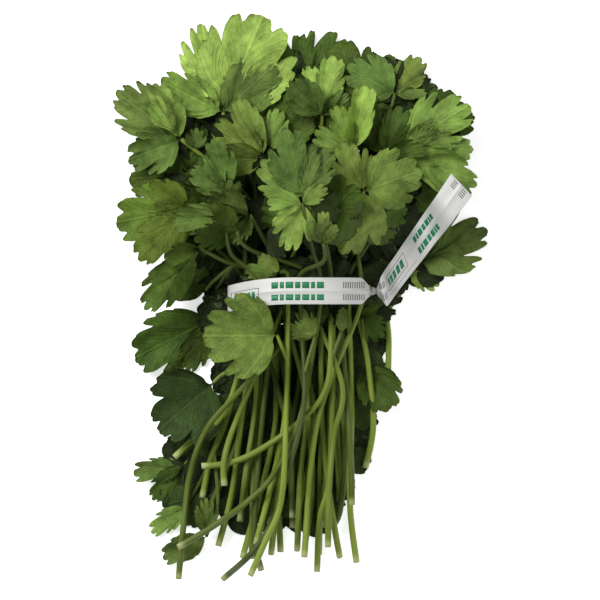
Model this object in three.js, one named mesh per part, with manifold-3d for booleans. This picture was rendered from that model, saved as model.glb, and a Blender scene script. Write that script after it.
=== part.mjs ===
// A bunch of coriander lying on a flat surface: leafy stems held at the waist by a printed wire tie.
// Millimetres, +Z up. +Y runs from the cut ends to the leaves, and the origin is under the middle of the tie.
import * as THREE from "three";
import { mergeVertices } from "three/addons/utils/BufferGeometryUtils.js";
import Module from "manifold-3d";

// Driving dimensions. The plan below is drawn in picture pixels, and the tie's width gives their size.
const TIE_WIDTH = 12.7;
const TIE_PIXELS = 26.5;
const MM_PER_PIXEL = TIE_WIDTH / TIE_PIXELS;
const ORIGIN_PIXEL = [301, 291];
const TIE_THICK = 0.8;
const TIE_LEFT = -35.5;
const TIE_RIGHT = 33.5;
const TIE_FLOOR_BULGE = 9;
const TIE_ROUNDNESS = 2.5;
const BLADE_THICK = 0.64;
const STEM_FOOT = 1.55;
const STEM_TOP = 0.95;
const CLEARANCE = 0.6;
const STEM_STEP = 2;
const SMOOTHING_STEPS = 4;
const STEM_SIDES = 5;
const STEM_CLIMB = 0.9;
const THICK_STEM = 1.25;
const STEM_TOLERANCE = 1.0;
const NODE_KNOB = [1.0, 1.35];

// The same seeded draw is made for every leaf, so that the bunch comes out alike each time.
let seed = 20457;
function draw(low, high) {
  seed = (Math.imul(seed, 1664525) + 1013904223) >>> 0;
  return low + ((high - low) * seed) / 4294967296;
}

const place = ([px, py]) => [
  (px - ORIGIN_PIXEL[0]) * MM_PER_PIXEL,
  (ORIGIN_PIXEL[1] - py) * MM_PER_PIXEL,
];

// Plan of the bunch, from the surface up. Each leafy stem runs from its cut end, past the tie at pixel column
// "waist", to the node that its leaflets grow from. A leaflet is its tip's pixel, half its spread in degrees,
// and the share of its length that is a narrow neck. A side branch leaves the stem at "from".
const tip = (x, y, spread, neck = 0) => ({ x, y, spread, neck });

const RIGHT_EDGE = {
  name: "stem_right_edge",
  tone: "dark",
  cut: [366, 470],
  low: [[374, 426], [368, 360]],
  waist: 357,
  high: [[362, 240]],
  node: [372, 205],
  tips: [tip(402, 168, 26), tip(398, 214, 26)],
  sides: [
    { from: [366, 345], via: [], node: [362, 318], tips: [tip(384, 338, 40), tip(378, 306, 20, 0.1)] },
    { from: [371, 400], via: [], node: [369, 366], tips: [tip(388, 412, 34, 0.05)] },
  ],
};

const TOP_LEFT_YOUNG = {
  name: "stem_top_left_young",
  tone: "young",
  cut: [297, 553],
  low: [[300, 480], [306, 400]],
  waist: 302,
  high: [[288, 230], [256, 165]],
  node: [222, 111],
  tips: [tip(201, 22, 22, 0.42), tip(262, 16, 36, 0.1), tip(274, 64, 28, 0.05), tip(160, 80, 20, 0.1)],
};

const TOP_MIDDLE = {
  name: "stem_top_middle",
  tone: "young",
  cut: [317, 575],
  low: [[320, 520], [330, 470]],
  waist: 318,
  high: [[322, 200]],
  node: [322, 114],
  tips: [tip(309, 64, 18, 0.15), tip(334, 55, 17, 0.1), tip(289, 82, 28), tip(347, 92, 18)],
};

const TOP_RIGHT = {
  name: "stem_top_right",
  tone: "dark",
  cut: [331, 530],
  low: [[340, 513], [345, 459], [340, 400]],
  waist: 338,
  high: [[368, 190]],
  node: [396, 92],
  tips: [tip(347, 66, 34), tip(421, 55, 26, 0.1), tip(427, 92, 14, 0.1)],
};

const LEFT_TOP = {
  name: "stem_left_top",
  tone: "dark",
  cut: [340, 560],
  low: [[330, 500], [322, 420]],
  waist: 281,
  high: [[265, 237], [242, 190]],
  node: [180, 138],
  tips: [tip(115, 92, 24, 0.25), tip(154, 83, 20, 0.1), tip(128, 160, 30, 0.05)],
};

const RIGHT_HIGH = {
  name: "stem_right_high",
  tone: "mid",
  cut: [357, 566],
  low: [[350, 500], [352, 400]],
  waist: 349,
  high: [[378, 225]],
  node: [402, 147],
  tips: [tip(468, 106, 27, 0.12), tip(472, 150, 17, 0.1), tip(474, 187, 18, 0.2), tip(436, 123, 14, 0.1)],
};

const LEFT_MIDDLE = {
  name: "stem_left_middle",
  tone: "mid",
  cut: [239, 524],
  low: [[246, 470], [256, 394]],
  waist: 262,
  high: [[236, 245]],
  node: [190, 208],
  tips: [tip(118, 223, 34), tip(140, 259, 22, 0.1), tip(150, 186, 24, 0.1)],
};

const RIGHT_OUTER = {
  name: "stem_right_outer",
  tone: "mid",
  cut: [389, 380],
  low: [[390, 340], [389, 312]],
  high: [[401, 294]],
  node: [411, 266],
  tips: [tip(440, 286, 26, 0.05), tip(487, 228, 29, 0.4)],
};

const LEFT_LOW = {
  name: "stem_left_low",
  tone: "dark",
  cut: [217, 549],
  low: [[232, 490], [244, 400]],
  waist: 244,
  high: [[226, 262]],
  node: [200, 248],
  tips: [tip(167, 262, 24), tip(146, 308, 17, 0.35)],
  sides: [
    { from: [232, 268], via: [[212, 282]], node: [205, 290], tips: [tip(164, 293, 16)] },
    {
      from: [232, 268],
      via: [[214, 292]],
      node: [210, 319],
      tips: [tip(133, 359, 25), tip(186, 372, 18, 0.3)],
    },
  ],
};

const CENTRE_TOP = {
  name: "stem_centre_top",
  tone: "mid",
  cut: [261, 572],
  low: [[254, 530], [262, 420]],
  waist: 270,
  high: [[274, 210]],
  node: [265, 158],
  tips: [tip(213, 125, 20, 0.1), tip(238, 98, 15, 0.25), tip(277, 108, 20, 0.25), tip(212, 161, 22, 0.05)],
};

const UPPER_RIGHT_DARK = {
  name: "stem_upper_right_dark",
  tone: "dark",
  cut: [352, 506],
  low: [[350, 440]],
  waist: 344,
  high: [[372, 220]],
  node: [385, 155],
  tips: [tip(365, 101, 24), tip(400, 107, 20, 0.1), tip(424, 150, 20, 0.1)],
};

const UPPER_YOUNG = {
  name: "stem_upper_young",
  tone: "young",
  cut: [305, 545],
  low: [[312, 470]],
  waist: 324,
  high: [[346, 215]],
  node: [353, 151],
  tips: [tip(365, 87, 14, 0.15), tip(336, 106, 18, 0.1), tip(314, 132, 28, 0.1)],
};

const CENTRE_LEFT = {
  name: "stem_centre_left",
  tone: "mid",
  cut: [224, 486],
  low: [[229, 440]],
  waist: 254,
  high: [[264, 240]],
  node: [250, 215],
  tips: [tip(207, 202, 30), tip(176, 222, 15, 0.3), tip(233, 244, 24)],
};

const CENTRE_MIDDLE = {
  name: "stem_centre_middle",
  tone: "mid",
  cut: [201, 467],
  low: [[226, 464], [256, 452], [300, 421], [327, 384]],
  waist: 339,
  high: [[322, 235]],
  node: [303, 199],
  tips: [tip(261, 164, 30), tip(287, 132, 26, 0.05), tip(326, 152, 22, 0.05)],
  sides: [{ from: [337, 362], via: [], node: [341, 332], tips: [tip(344, 308, 20)] }],
};

const CENTRE_LOW = {
  name: "stem_centre_low",
  tone: "young",
  cut: [177, 549],
  low: [[215, 526], [247, 502], [273, 475], [300, 418]],
  waist: 316,
  high: [[312, 250]],
  node: [302, 205],
  tips: [tip(268, 204, 26), tip(288, 251, 32), tip(326, 190, 24)],
};

const LOWER_CENTRE = {
  name: "stem_lower_centre",
  tone: "young",
  cut: [222, 582],
  low: [[240, 565], [261, 541], [276, 512], [288, 470], [304, 400]],
  waist: 308,
  high: [[323, 262]],
  node: [323, 244],
  tips: [tip(309, 224, 20), tip(323, 213, 18), tip(336, 226, 20)],
  sides: [{ from: [306, 372], via: [], node: [315, 336], tips: [tip(285, 328, 20), tip(299, 310, 24)] }],
};

const WAIST_TUFT = {
  name: "stem_waist_tuft",
  tone: "young",
  cut: [250, 575],
  low: [[265, 541], [281, 500], [286, 420]],
  waist: 288,
  high: [],
  node: [280, 272],
  tips: [tip(246, 271, 19), tip(258, 256, 20)],
  sides: [{ from: [286, 362], via: [], node: [277, 335], tips: [tip(205, 336, 47)], late: true }],
};

const CENTRE_RIGHT = {
  name: "stem_centre_right",
  tone: "young",
  cut: [328, 548],
  low: [[329, 490], [334, 436], [342, 385]],
  waist: 332,
  high: [[350, 240]],
  node: [364, 191],
  tips: [tip(342, 143, 30), tip(420, 172, 38), tip(344, 254, 40)],
};

const LOWER_LEFT = {
  name: "stem_lower_left",
  tone: "dark",
  cut: [177, 582],
  low: [[183, 520], [189, 475], [206, 430], [240, 390]],
  waist: 266,
  high: [[250, 250]],
  node: [238, 232],
  tips: [tip(196, 240, 22), tip(214, 205, 22)],
  sides: [{ from: [252, 366], via: [[228, 372]], node: [212, 384], tips: [tip(158, 432, 44)] }],
};

const LEFT_SHORT = {
  name: "stem_left_short",
  tone: "dark",
  cut: [173, 459],
  low: [[192, 441], [226, 410]],
  waist: 250,
  high: [[232, 255]],
  node: [226, 228],
  tips: [tip(185, 205, 24), tip(232, 180, 22)],
  sides: [
    {
      from: [232, 398],
      via: [[206, 436]],
      node: [182, 468],
      tips: [tip(132, 475, 17, 0.1), tip(150, 502, 19)],
    },
  ],
};

const LOWER_LEFT_LITTLE = {
  name: "stem_lower_left_little",
  tone: "mid",
  cut: [201, 500],
  low: [[210, 460], [232, 400]],
  waist: 258,
  high: [[242, 230]],
  node: [228, 190],
  tips: [tip(190, 172, 26), tip(214, 140, 22)],
  sides: [
    { from: [213, 452], via: [[200, 482]], node: [184, 510], tips: [tip(149, 535, 19, 0.05)] },
    {
      from: [213, 452],
      via: [[217, 505]],
      node: [205, 540],
      tips: [tip(161, 561, 20), tip(206, 500, 22, 0.2)],
    },
  ],
};

// A leafy stem of the dark inside of the bunch, with its node at the given pixel. It leans away from the tie.
function filler(name, node, leafPixels) {
  const waist = 301 + (node[0] - 301) * 0.32 + draw(-20, 20);
  const cut = [waist + draw(-82, 26), draw(500, 562)];
  const aim = Math.atan2(node[1] - 262, node[0] - 301) + draw(-0.3, 0.3);
  const leaf = (side, share, spread) => {
    const angle = aim + side + draw(-0.15, 0.15);
    const length = leafPixels * share * draw(0.85, 1.15);
    return tip(node[0] + length * Math.cos(angle), node[1] + length * Math.sin(angle), spread, 0.05);
  };
  const tips = [leaf(-0.66, 1.05, 42), leaf(0.66, 1.05, 42)];
  const low = [[(cut[0] + waist) / 2 + draw(-6, 6), 420]];
  return { name, tone: "dark", cut, low, waist, high: [], node, tips, inside: true };
}

// Laid from the surface up: a few flat leaves, then the rest from the far end of the leaves to the tie.
const FILLER_HEAD_START = 55;
const under = [
  filler("stem_under_1", [262, 236], 62),
  filler("stem_under_2", [352, 238], 62),
  filler("stem_under_3", [200, 196], 62),
  filler("stem_under_4", [400, 186], 62),
  RIGHT_OUTER,
  RIGHT_EDGE,
];
const INSIDE_NODES = [
  [236, 118], [300, 82], [362, 92], [418, 128], [186, 172], [340, 138], [276, 148], [404, 178], [222, 204],
  [214, 246], [304, 232], [352, 222],
];
const fillers = INSIDE_NODES.map((node, k) => filler(`stem_inner_${k + 1}`, node, 58));
const drawn = [
  TOP_MIDDLE, TOP_LEFT_YOUNG, TOP_RIGHT, LEFT_LOW, LOWER_LEFT_LITTLE, RIGHT_HIGH, LEFT_MIDDLE,
  LEFT_SHORT, LEFT_TOP, UPPER_RIGHT_DARK, CENTRE_TOP, UPPER_YOUNG, LOWER_LEFT, CENTRE_LEFT, CENTRE_MIDDLE,
  CENTRE_LOW, LOWER_CENTRE, CENTRE_RIGHT, WAIST_TUFT,
];
const reach = ({ node, inside }) =>
  Math.hypot(node[0] - ORIGIN_PIXEL[0], node[1] - ORIGIN_PIXEL[1]) + (inside ? FILLER_HEAD_START : 0);
const plan = [...under, ...[...fillers, ...drawn].sort((a, b) => reach(b) - reach(a))];

// Map of how high the bunch stands so far. Whatever comes next is laid over it, so that nothing crosses.
const MAP_LOW = [-110, -160];
const MAP_SIZE = [220, 320];
const heights = new Float64Array(MAP_SIZE[0] * MAP_SIZE[1]).fill(-CLEARANCE);

function highest(x, y, around) {
  const i = Math.floor(x - MAP_LOW[0]);
  const j = Math.floor(y - MAP_LOW[1]);
  let top = -CLEARANCE;
  for (let di = -around; di <= around; di += 1)
    for (let dj = -around; dj <= around; dj += 1)
      top = Math.max(top, heights[(i + di) * MAP_SIZE[1] + j + dj]);
  return top;
}

function cover(x, y, around, z) {
  const i = Math.floor(x - MAP_LOW[0]);
  const j = Math.floor(y - MAP_LOW[1]);
  for (let di = -around; di <= around; di += 1)
    for (let dj = -around; dj <= around; dj += 1) {
      const cell = (i + di) * MAP_SIZE[1] + j + dj;
      heights[cell] = Math.max(heights[cell], z);
    }
}

// The tie's ring, as a height over the surface at each x: its lower strand and, later, its upper one.
const TIE_MIDDLE = (TIE_LEFT + TIE_RIGHT) / 2;
const TIE_HALF = (TIE_RIGHT - TIE_LEFT) / 2;
const ringShare = (x) =>
  Math.max(0, 1 - Math.abs((x - TIE_MIDDLE) / TIE_HALF) ** TIE_ROUNDNESS) ** (1 / TIE_ROUNDNESS);
const ringY = (x) => -3.8 * Math.max(0, (-x - 5) / 30) ** 2;

function layLowerStrand() {
  for (let x = TIE_LEFT; x <= TIE_RIGHT; x += 0.5)
    for (let y = -TIE_WIDTH / 2 - 1.5; y <= TIE_WIDTH / 2 + 1.5; y += 0.5) {
      const z = TIE_FLOOR_BULGE * (1 - ringShare(x)) + TIE_THICK;
      cover(x, y + ringY(x), 0, z);
    }
}

// A line through the given points, resampled at even steps.
function evenLine(points, step) {
  const fine = [];
  const last = points.length - 1;
  for (let k = 0; k < last; k += 1) {
    const [a, b, c, d] = [points[Math.max(0, k - 1)], points[k], points[k + 1], points[Math.min(last, k + 2)]];
    for (let n = 0; n < 16; n += 1) {
      const t = n / 16;
      fine.push([0, 1].map((axis) => {
        const slopeB = (c[axis] - a[axis]) / 2;
        const slopeC = (d[axis] - b[axis]) / 2;
        const h = t * t * (3 - 2 * t);
        return (
          b[axis] * (1 - h) + c[axis] * h + slopeB * t * (1 - t) ** 2 - slopeC * t * t * (1 - t)
        );
      }));
    }
  }
  fine.push(points[last].slice());
  const along = [0];
  for (let k = 1; k < fine.length; k += 1)
    along.push(along[k - 1] + Math.hypot(fine[k][0] - fine[k - 1][0], fine[k][1] - fine[k - 1][1]));
  const total = along[along.length - 1];
  const count = Math.max(2, Math.ceil(total / step));
  const even = [];
  let k = 0;
  for (let n = 0; n <= count; n += 1) {
    const wanted = (total * n) / count;
    while (k < along.length - 2 && along[k + 1] < wanted) k += 1;
    const share = (wanted - along[k]) / (along[k + 1] - along[k]);
    even.push([0, 1].map((axis) => fine[k][axis] + (fine[k + 1][axis] - fine[k][axis]) * share));
  }
  return even;
}

const smooth = (t) => {
  const u = Math.min(1, Math.max(0, t));
  return u * u * (3 - 2 * u);
};

// A value above every neighbour's within the window, then averaged over that window: never below the first.
function liftSmoothly(values) {
  const n = values.length;
  const window = (list, half, take) =>
    list.map((_, k) => take(list.slice(Math.max(0, k - half), Math.min(n, k + half + 1))));
  const mean = (list) => list.reduce((sum, v) => sum + v, 0) / list.length;
  const top = window(values, SMOOTHING_STEPS, (list) => Math.max(...list));
  const half = SMOOTHING_STEPS / 2;
  return window(window(top, half, mean), half, mean);
}

// A leaflet grows from its node, with lobes and teeth round its far edge. "across" runs from -1 to 1 over its
// spread, and "out" from 0 at the node to 1 at the edge.
const LOBES = [-0.68, 0, 0.68];
const LOBE_REACH = [0.86, 1, 0.86];
const TEETH = {
  1: [[-0.15, 0.94], [0.15, 0.94]],
  2: [[-0.14, 0.96], [0, null], [0.14, 0.96]],
  3: [[-0.2, 0.92], [-0.1, null], [0, 1], [0.1, null], [0.2, 0.92]],
};

function leaflet(node, { x, y, spread, neck }) {
  const end = place([x, y]);
  const length = Math.hypot(end[0] - node[0], end[1] - node[1]);
  return {
    node,
    length,
    angle: Math.atan2(end[1] - node[1], end[0] - node[0]),
    spread: THREE.MathUtils.degToRad(spread),
    neck,
    tooth: draw(0.07, 0.12),
    sinus: draw(0.16, 0.34),
    lift: draw(-0.5, 0.12),
    droop: draw(-0.04, 0.22),
    fold: draw(-0.08, 0.16),
    twist: draw(-0.12, 0.12),
  };
}

// The far edge as a list of [across, reach]: shoulders, teeth, the notches between them and deeper lobe gaps.
function edgePoints(leaf, teeth) {
  const points = [[-1, 0.58]];
  const marks = TEETH[teeth];
  LOBES.forEach((middle, k) => {
    marks.forEach(([shift, share]) => {
      const notch = share === null ? 0.97 - leaf.tooth : share;
      points.push([middle + shift, LOBE_REACH[k] * notch]);
    });
    if (k < 2) points.push([middle + 0.34, 0.9 * (1 - leaf.sinus)]);
  });
  points.push([1, 0.58]);
  return points;
}

function edgeReach(points, across) {
  let k = 0;
  while (k < points.length - 2 && points[k + 1][0] < across) k += 1;
  const share = (across - points[k][0]) / (points[k + 1][0] - points[k][0]);
  return points[k][1] + (points[k + 1][1] - points[k][1]) * share;
}

function leafSpot(leaf, out, across, reach) {
  const open = 0.16 + 0.84 * smooth((out - leaf.neck) / 0.45);
  const angle = leaf.angle + across * leaf.spread * open;
  const distance = out * reach * leaf.length;
  return [leaf.node[0] + distance * Math.cos(angle), leaf.node[1] + distance * Math.sin(angle)];
}

const leafBend = (leaf, out, across) =>
  leaf.length * out * (leaf.fold * Math.abs(across) + leaf.twist * across - leaf.droop * out);

function leafSamples(leaf) {
  const points = edgePoints(leaf, 3);
  const samples = [];
  for (let i = 0; i <= 24; i += 1)
    for (let j = -16; j <= 16; j += 1) {
      const [out, across] = [i / 24, j / 16];
      const [x, y] = leafSpot(leaf, out, across, edgeReach(points, across));
      samples.push([x, y, out, leafBend(leaf, out, across)]);
    }
  return samples;
}

// Each leaflet turns about its node until it rests on what lies below. The node is raised only where a leaflet
// would have to stand up more steeply than the limit.
const STEEPEST_UP = 0.55;
const STEEPEST_DOWN = -0.85;
const NODE_SHARE = 0.15;

function restLeaves(leaves, node) {
  let base = highest(node[0], node[1], 3) + CLEARANCE + STEM_TOP;
  const settled = leaves.map((leaf) => {
    const sideways = (Math.abs(leaf.fold) + Math.abs(leaf.twist)) / leaf.spread;
    const half = 0.5 * BLADE_THICK * Math.sqrt(1 + 0.6 * 0.6 + sideways * sideways);
    return leafSamples(leaf).map(([x, y, out, bend]) => ({
      x, y, out, bend, half,
      under: Math.max(0, highest(x, y, 1)) + CLEARANCE + half,
    }));
  });
  settled.forEach((samples, k) =>
    samples.forEach(({ out, bend, under }) => {
      base = Math.max(base, under - bend - leaves[k].length * STEEPEST_UP * out);
    }),
  );
  return { base, settled };
}

function tiltLeaves(leaves, rest) {
  rest.settled.forEach((samples, k) => {
    const leaf = leaves[k];
    leaf.lift = Math.max(leaf.lift, STEEPEST_DOWN);
    samples.forEach(({ out, bend, under }) => {
      if (out < NODE_SHARE) return;
      leaf.lift = Math.max(leaf.lift, (under - rest.base - bend) / (leaf.length * out));
    });
    leaf.half = samples[0].half;
    leaf.base = rest.base;
  });
}

function coverLeaves(leaves, rest) {
  rest.settled.forEach((samples, k) =>
    samples.forEach(({ x, y, out, bend, half }) =>
      cover(x, y, 1, rest.base + leaves[k].lift * leaves[k].length * out + bend + half),
    ),
  );
}

// One branch: a stem line in plan, its heights, and the leaf at its end.
function layBranch(points, feet, tops, tips, wanted) {
  const line = evenLine(points, STEM_STEP);
  const node = line[line.length - 1];
  const n = line.length - 1;
  const radius = (k) => feet + (tops - feet) * (k / n);
  const leaves = tips.map((t) => leaflet(node, t));
  const rest = restLeaves(leaves, node);
  const bare = line.map(([x, y], k) => highest(x, y, radius(k) > THICK_STEM ? 2 : 1) + CLEARANCE + radius(k));
  const ramp = line.map((_, k) => rest.base - (n - k) * STEM_STEP * STEM_CLIMB);
  const z = liftSmoothly(bare.map((b, k) => Math.max(b, wanted(k, line[k]), ramp[k])));
  rest.base = Math.max(rest.base, z[n]);
  tiltLeaves(leaves, rest);
  return { line, z, radius, leaves, rest, node };
}

function coverBranch(branch) {
  branch.line.forEach(([x, y], k) => cover(x, y, 1, branch.z[k] + branch.radius(k) + 0.25));
  coverLeaves(branch.leaves, branch.rest);
}

// Heights that a stem keeps to where nothing under it pushes it higher: on the table at its cut end, in its
// own row inside the tie, and higher again among the leaves.
function rowHeights(share) {
  return ([x, y]) => {
    const floor = TIE_FLOOR_BULGE * (1 - ringShare(x)) + TIE_THICK;
    const ceiling = TIE_FLOOR_BULGE + 12 * ringShare(x);
    const waist = floor + STEM_FOOT + (ceiling - floor - 2 * STEM_FOOT) * share;
    if (y < 0) return waist * (1 - smooth(-y / 110)) + (STEM_FOOT + 5 * share) * smooth(-y / 110);
    return waist;
  };
}

// Where a stem passes the tie is not seen, so it takes the lowest gap near its own column.
const WAIST_LIMITS = [241, 361];
const SHIFT_COST = 0.04;
const WAIST_SHIFTS = Array.from({ length: 25 }, (_, k) => (k - 12) * 4);

function stemPoints(row, waist) {
  const gate = waist === undefined ? [] : [[waist, ORIGIN_PIXEL[1] + 16], [waist, ORIGIN_PIXEL[1] - 16]];
  return [row.cut, ...row.low, ...gate, ...row.high, row.node].map(place);
}

function neatPoints(row) {
  if (row.waist === undefined) return stemPoints(row);
  let [best, bestCost] = [null, Infinity];
  for (const shift of WAIST_SHIFTS) {
    const waist = Math.min(WAIST_LIMITS[1], Math.max(WAIST_LIMITS[0], row.waist + shift));
    const points = stemPoints(row, waist);
    const near = evenLine(points, STEM_STEP).filter(([, y]) => Math.abs(y) < 30);
    const tops = near.map(([x, y]) => highest(x, y, 2));
    const mean = tops.reduce((sum, top) => sum + top, 0) / tops.length;
    const cost = Math.max(...tops) + mean + SHIFT_COST * Math.abs(shift);
    if (cost < bestCost) [best, bestCost] = [points, cost];
  }
  return best;
}

function nearestTo(line, [x, y]) {
  const away = (p) => Math.hypot(p[0] - x, p[1] - y);
  return line.reduce((best, p, k) => (away(p) < away(line[best]) ? k : best), 0);
}

function laySide(side, mainLine) {
  const joint = nearestTo(mainLine, place(side.from));
  const points = [mainLine[joint].slice(), ...[...side.via, side.node].map(place)];
  return { joint, ...layBranch(points, STEM_TOP, STEM_TOP * 0.85, side.tips, () => 0) };
}

function layStem(row, share) {
  const points = neatPoints(row);
  const plain = evenLine(points, STEM_STEP);
  const wanted = rowHeights(share);
  const sides = (row.sides ?? []).filter((side) => !side.late).map((side) => laySide(side, plain));
  const main = layBranch(points, STEM_FOOT, STEM_TOP, row.tips, (k, p) =>
    sides.reduce(
      (z, side) => (Math.abs(k - side.joint) < 2 ? Math.max(z, side.z[0]) : z),
      row.waist === undefined ? 0 : wanted(p),
    ),
  );
  for (const side of sides) {
    const n = side.line.length - 1;
    const lift = main.z[side.joint] - side.z[0];
    side.z.forEach((z, k) => { side.z[k] = z + lift * (1 - k / n); });
  }
  [main, ...sides].forEach(coverBranch);
  return [main, ...sides];
}

// A side branch that lies over the tie is laid after it, from the top of its own stem.
const DIP_STEPS = 4;

function layLateSides({ row, branches }) {
  const main = branches[0];
  for (const side of (row.sides ?? []).filter((one) => one.late)) {
    const branch = laySide(side, main.line);
    const drop = main.z[branch.joint] - branch.z[0];
    branch.z.forEach((z, k) => { branch.z[k] = z + drop * (1 - smooth(k / DIP_STEPS)); });
    coverBranch(branch);
    branches.push(branch);
  }
}

// Solids. Every piece is a closed mesh given to manifold-3d, which joins them.
const wasm = await Module();
wasm.setup();

function solid(points, faces) {
  return new wasm.Manifold(
    new wasm.Mesh({
      numProp: 3,
      vertProperties: new Float32Array(points.flat()),
      triVerts: new Uint32Array(faces.flat()),
    }),
  );
}

// A closed tube through rings of points, each ring with the same number of points.
function skin(rings) {
  const sides = rings[0].length;
  const faces = [];
  for (let r = 0; r + 1 < rings.length; r += 1)
    for (let s = 0; s < sides; s += 1) {
      const [a, b] = [r * sides + s, r * sides + ((s + 1) % sides)];
      faces.push([a, b, b + sides], [a, b + sides, a + sides]);
    }
  const top = (rings.length - 1) * sides;
  for (let s = 1; s + 1 < sides; s += 1) faces.push([0, s + 1, s], [top, top + s, top + s + 1]);
  return solid(rings.flat(), faces);
}

// Keeps the points that a line needs to stay within the tolerance.
function thin(points, tolerance) {
  if (points.length < 3) return points;
  const [a, b] = [points[0], points[points.length - 1]];
  const chord = new THREE.Line3(new THREE.Vector3(...a.slice(0, 3)), new THREE.Vector3(...b.slice(0, 3)));
  const near = new THREE.Vector3();
  let [far, worst] = [0, 0];
  points.forEach((p, k) => {
    const q = new THREE.Vector3(...p.slice(0, 3));
    const away = q.distanceTo(chord.closestPointToPoint(q, true, near));
    if (away > worst) [far, worst] = [k, away];
  });
  if (worst <= tolerance) return [a, b];
  return [...thin(points.slice(0, far + 1), tolerance).slice(0, -1), ...thin(points.slice(far), tolerance)];
}

function stemSolid(branch) {
  const full = branch.line.map(([x, y], k) => [x, y, branch.z[k], branch.radius(k)]);
  const kept = thin(full, STEM_TOLERANCE);
  const [from, to] = kept.slice(-2).map((p) => new THREE.Vector3(...p.slice(0, 3)));
  const knob = to.clone().add(to.clone().sub(from).setLength(NODE_KNOB[0]));
  kept.splice(-1, 1, [...to.toArray(), NODE_KNOB[1]], [...knob.toArray(), NODE_KNOB[1] * 0.75]);
  const up = new THREE.Vector3(0, 0, 1);
  const rings = kept.map((p, k) => {
    const before = new THREE.Vector3(...kept[Math.max(0, k - 1)]);
    const after = new THREE.Vector3(...kept[Math.min(kept.length - 1, k + 1)]);
    const ahead = after.sub(before).normalize();
    const side = ahead.clone().cross(up).normalize();
    const above = side.clone().cross(ahead);
    return Array.from({ length: STEM_SIDES }, (_, s) => {
      const turn = -Math.PI / 2 - (2 * Math.PI * s) / STEM_SIDES;
      const [u, v] = [p[3] * Math.cos(turn), p[3] * Math.sin(turn)];
      return [0, 1, 2].map((axis) => p[axis] + side.getComponent(axis) * u + above.getComponent(axis) * v);
    });
  });
  return skin(rings);
}

// A thin blade cut to its lobes and teeth, with one row of points between its node and its edge.
const MIDDLE_OUT = 0.52;
const MIDDLE_ACROSS = [-1, -0.6, 0, 0.6, 1];
const TEETH_SPREADS = [0.37, 0.58];
const teethOf = (leaf) => 1 + TEETH_SPREADS.filter((least) => leaf.spread > least).length;

function bladeSolid(leaf, teeth) {
  const edge = edgePoints(leaf, teeth);
  const full = edgePoints(leaf, 3);
  const spot = (out, across, reach) => [
    ...leafSpot(leaf, out, across, reach),
    leaf.base + leaf.lift * leaf.length * out + leafBend(leaf, out, across),
  ];
  const [c, s] = [Math.cos(leaf.angle), Math.sin(leaf.angle)];
  const root = [-1, 1].map((side) => [
    leaf.node[0] - c * 0.5 - side * s * 0.65,
    leaf.node[1] - s * 0.5 + side * c * 0.65,
    leaf.base,
  ]);
  const middle = MIDDLE_ACROSS.map((across) => spot(MIDDLE_OUT, across, edgeReach(full, across)));
  const rim = edge.slice(1, -1).map(([across, reach]) => spot(1, across, reach));
  const flat = [...root, ...middle, ...rim];
  const faces = [[0, 3, 2], [0, 4, 3], [0, 1, 4], [1, 5, 4], [1, 6, 5]];
  const rimAcross = edge.slice(1, -1).map(([across]) => across);
  let [m, r] = [0, 0];
  while (m < middle.length - 1 || r < rim.length - 1) {
    const nextMiddle = m < middle.length - 1 ? MIDDLE_ACROSS[m + 1] : 9;
    const nextRim = r < rim.length - 1 ? rimAcross[r + 1] : 9;
    if (nextRim <= nextMiddle || m === middle.length - 1) {
      faces.push([2 + m, 8 + r, 7 + r]);
      r += 1;
    } else {
      faces.push([2 + m, 3 + m, 7 + r]);
      m += 1;
    }
  }
  const outline = [1, 0, 2, ...rim.map((_, k) => 7 + k), 6];
  const size = flat.length;
  const points = [-1, 1].flatMap((side) => flat.map(([x, y, z]) => [x, y, z + side * leaf.half]));
  const below = faces.map(([a, b, d]) => [a, b, d]);
  const above = faces.map(([a, b, d]) => [a + size, d + size, b + size]);
  const wall = outline.flatMap((a, k) => {
    const b = outline[(k + 1) % outline.length];
    return [[a, b, b + size], [a, b + size, a + size]];
  });
  return solid(points, [...below, ...above, ...wall]);
}

function leafyStem(row, branches) {
  const pieces = branches.flatMap((branch) => [
    stemSolid(branch),
    ...branch.leaves.map((leaf) => bladeSolid(leaf, row.inside ? 1 : teethOf(leaf))),
  ]);
  const made = wasm.Manifold.union(pieces);
  const bodies = made.decompose().sort((a, b) => b.volume() - a.volume());
  return bodies[0];
}

function toGeometry(made) {
  const mesh = made.getMesh();
  const geometry = new THREE.BufferGeometry();
  geometry.setAttribute("position", new THREE.BufferAttribute(new Float32Array(mesh.vertProperties), 3));
  geometry.setIndex(new THREE.BufferAttribute(new Uint32Array(mesh.triVerts), 1));
  return mergeVertices(geometry, 1e-4);
}

// The tie: a paper strip with a wire rib, closed round the stems, twisted at the right, with a long tail.
const RIB = [1.1, 0.45];
const RING_STEPS = 30;
const NECK_WIDTH = 5.2;
const FLAT_TRIM = 0.25;
const TWIST = { from: TIE_RIGHT - 1, to: 39, wide: 4.6, thick: 2.4, turns: 1.25, rings: 9 };
const TAIL = {
  root: [[377, 288.5], [377, 294]],
  start: [[381, 277.5], [387.5, 307]],
  end: [[450, 174.5], [470.5, 196.5]],
  steps: 8,
};

function layUpperStrand() {
  let arch = 11;
  for (let x = TIE_LEFT + 2; x <= TIE_RIGHT - 2; x += 0.5)
    for (let y = -TIE_WIDTH / 2 - 0.5; y <= TIE_WIDTH / 2 + 0.5; y += 0.5) {
      const room = highest(x, y + ringY(x), 1) + CLEARANCE + TIE_THICK * 1.4 - TIE_FLOOR_BULGE;
      arch = Math.max(arch, room / ringShare(x));
    }
  for (let x = TIE_LEFT; x <= TIE_RIGHT; x += 0.5)
    for (let y = -TIE_WIDTH / 2; y <= TIE_WIDTH / 2; y += 0.5)
      cover(x, y + ringY(x), 1, TIE_FLOOR_BULGE + arch * ringShare(x) + RIB[1]);
  return arch;
}

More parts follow.
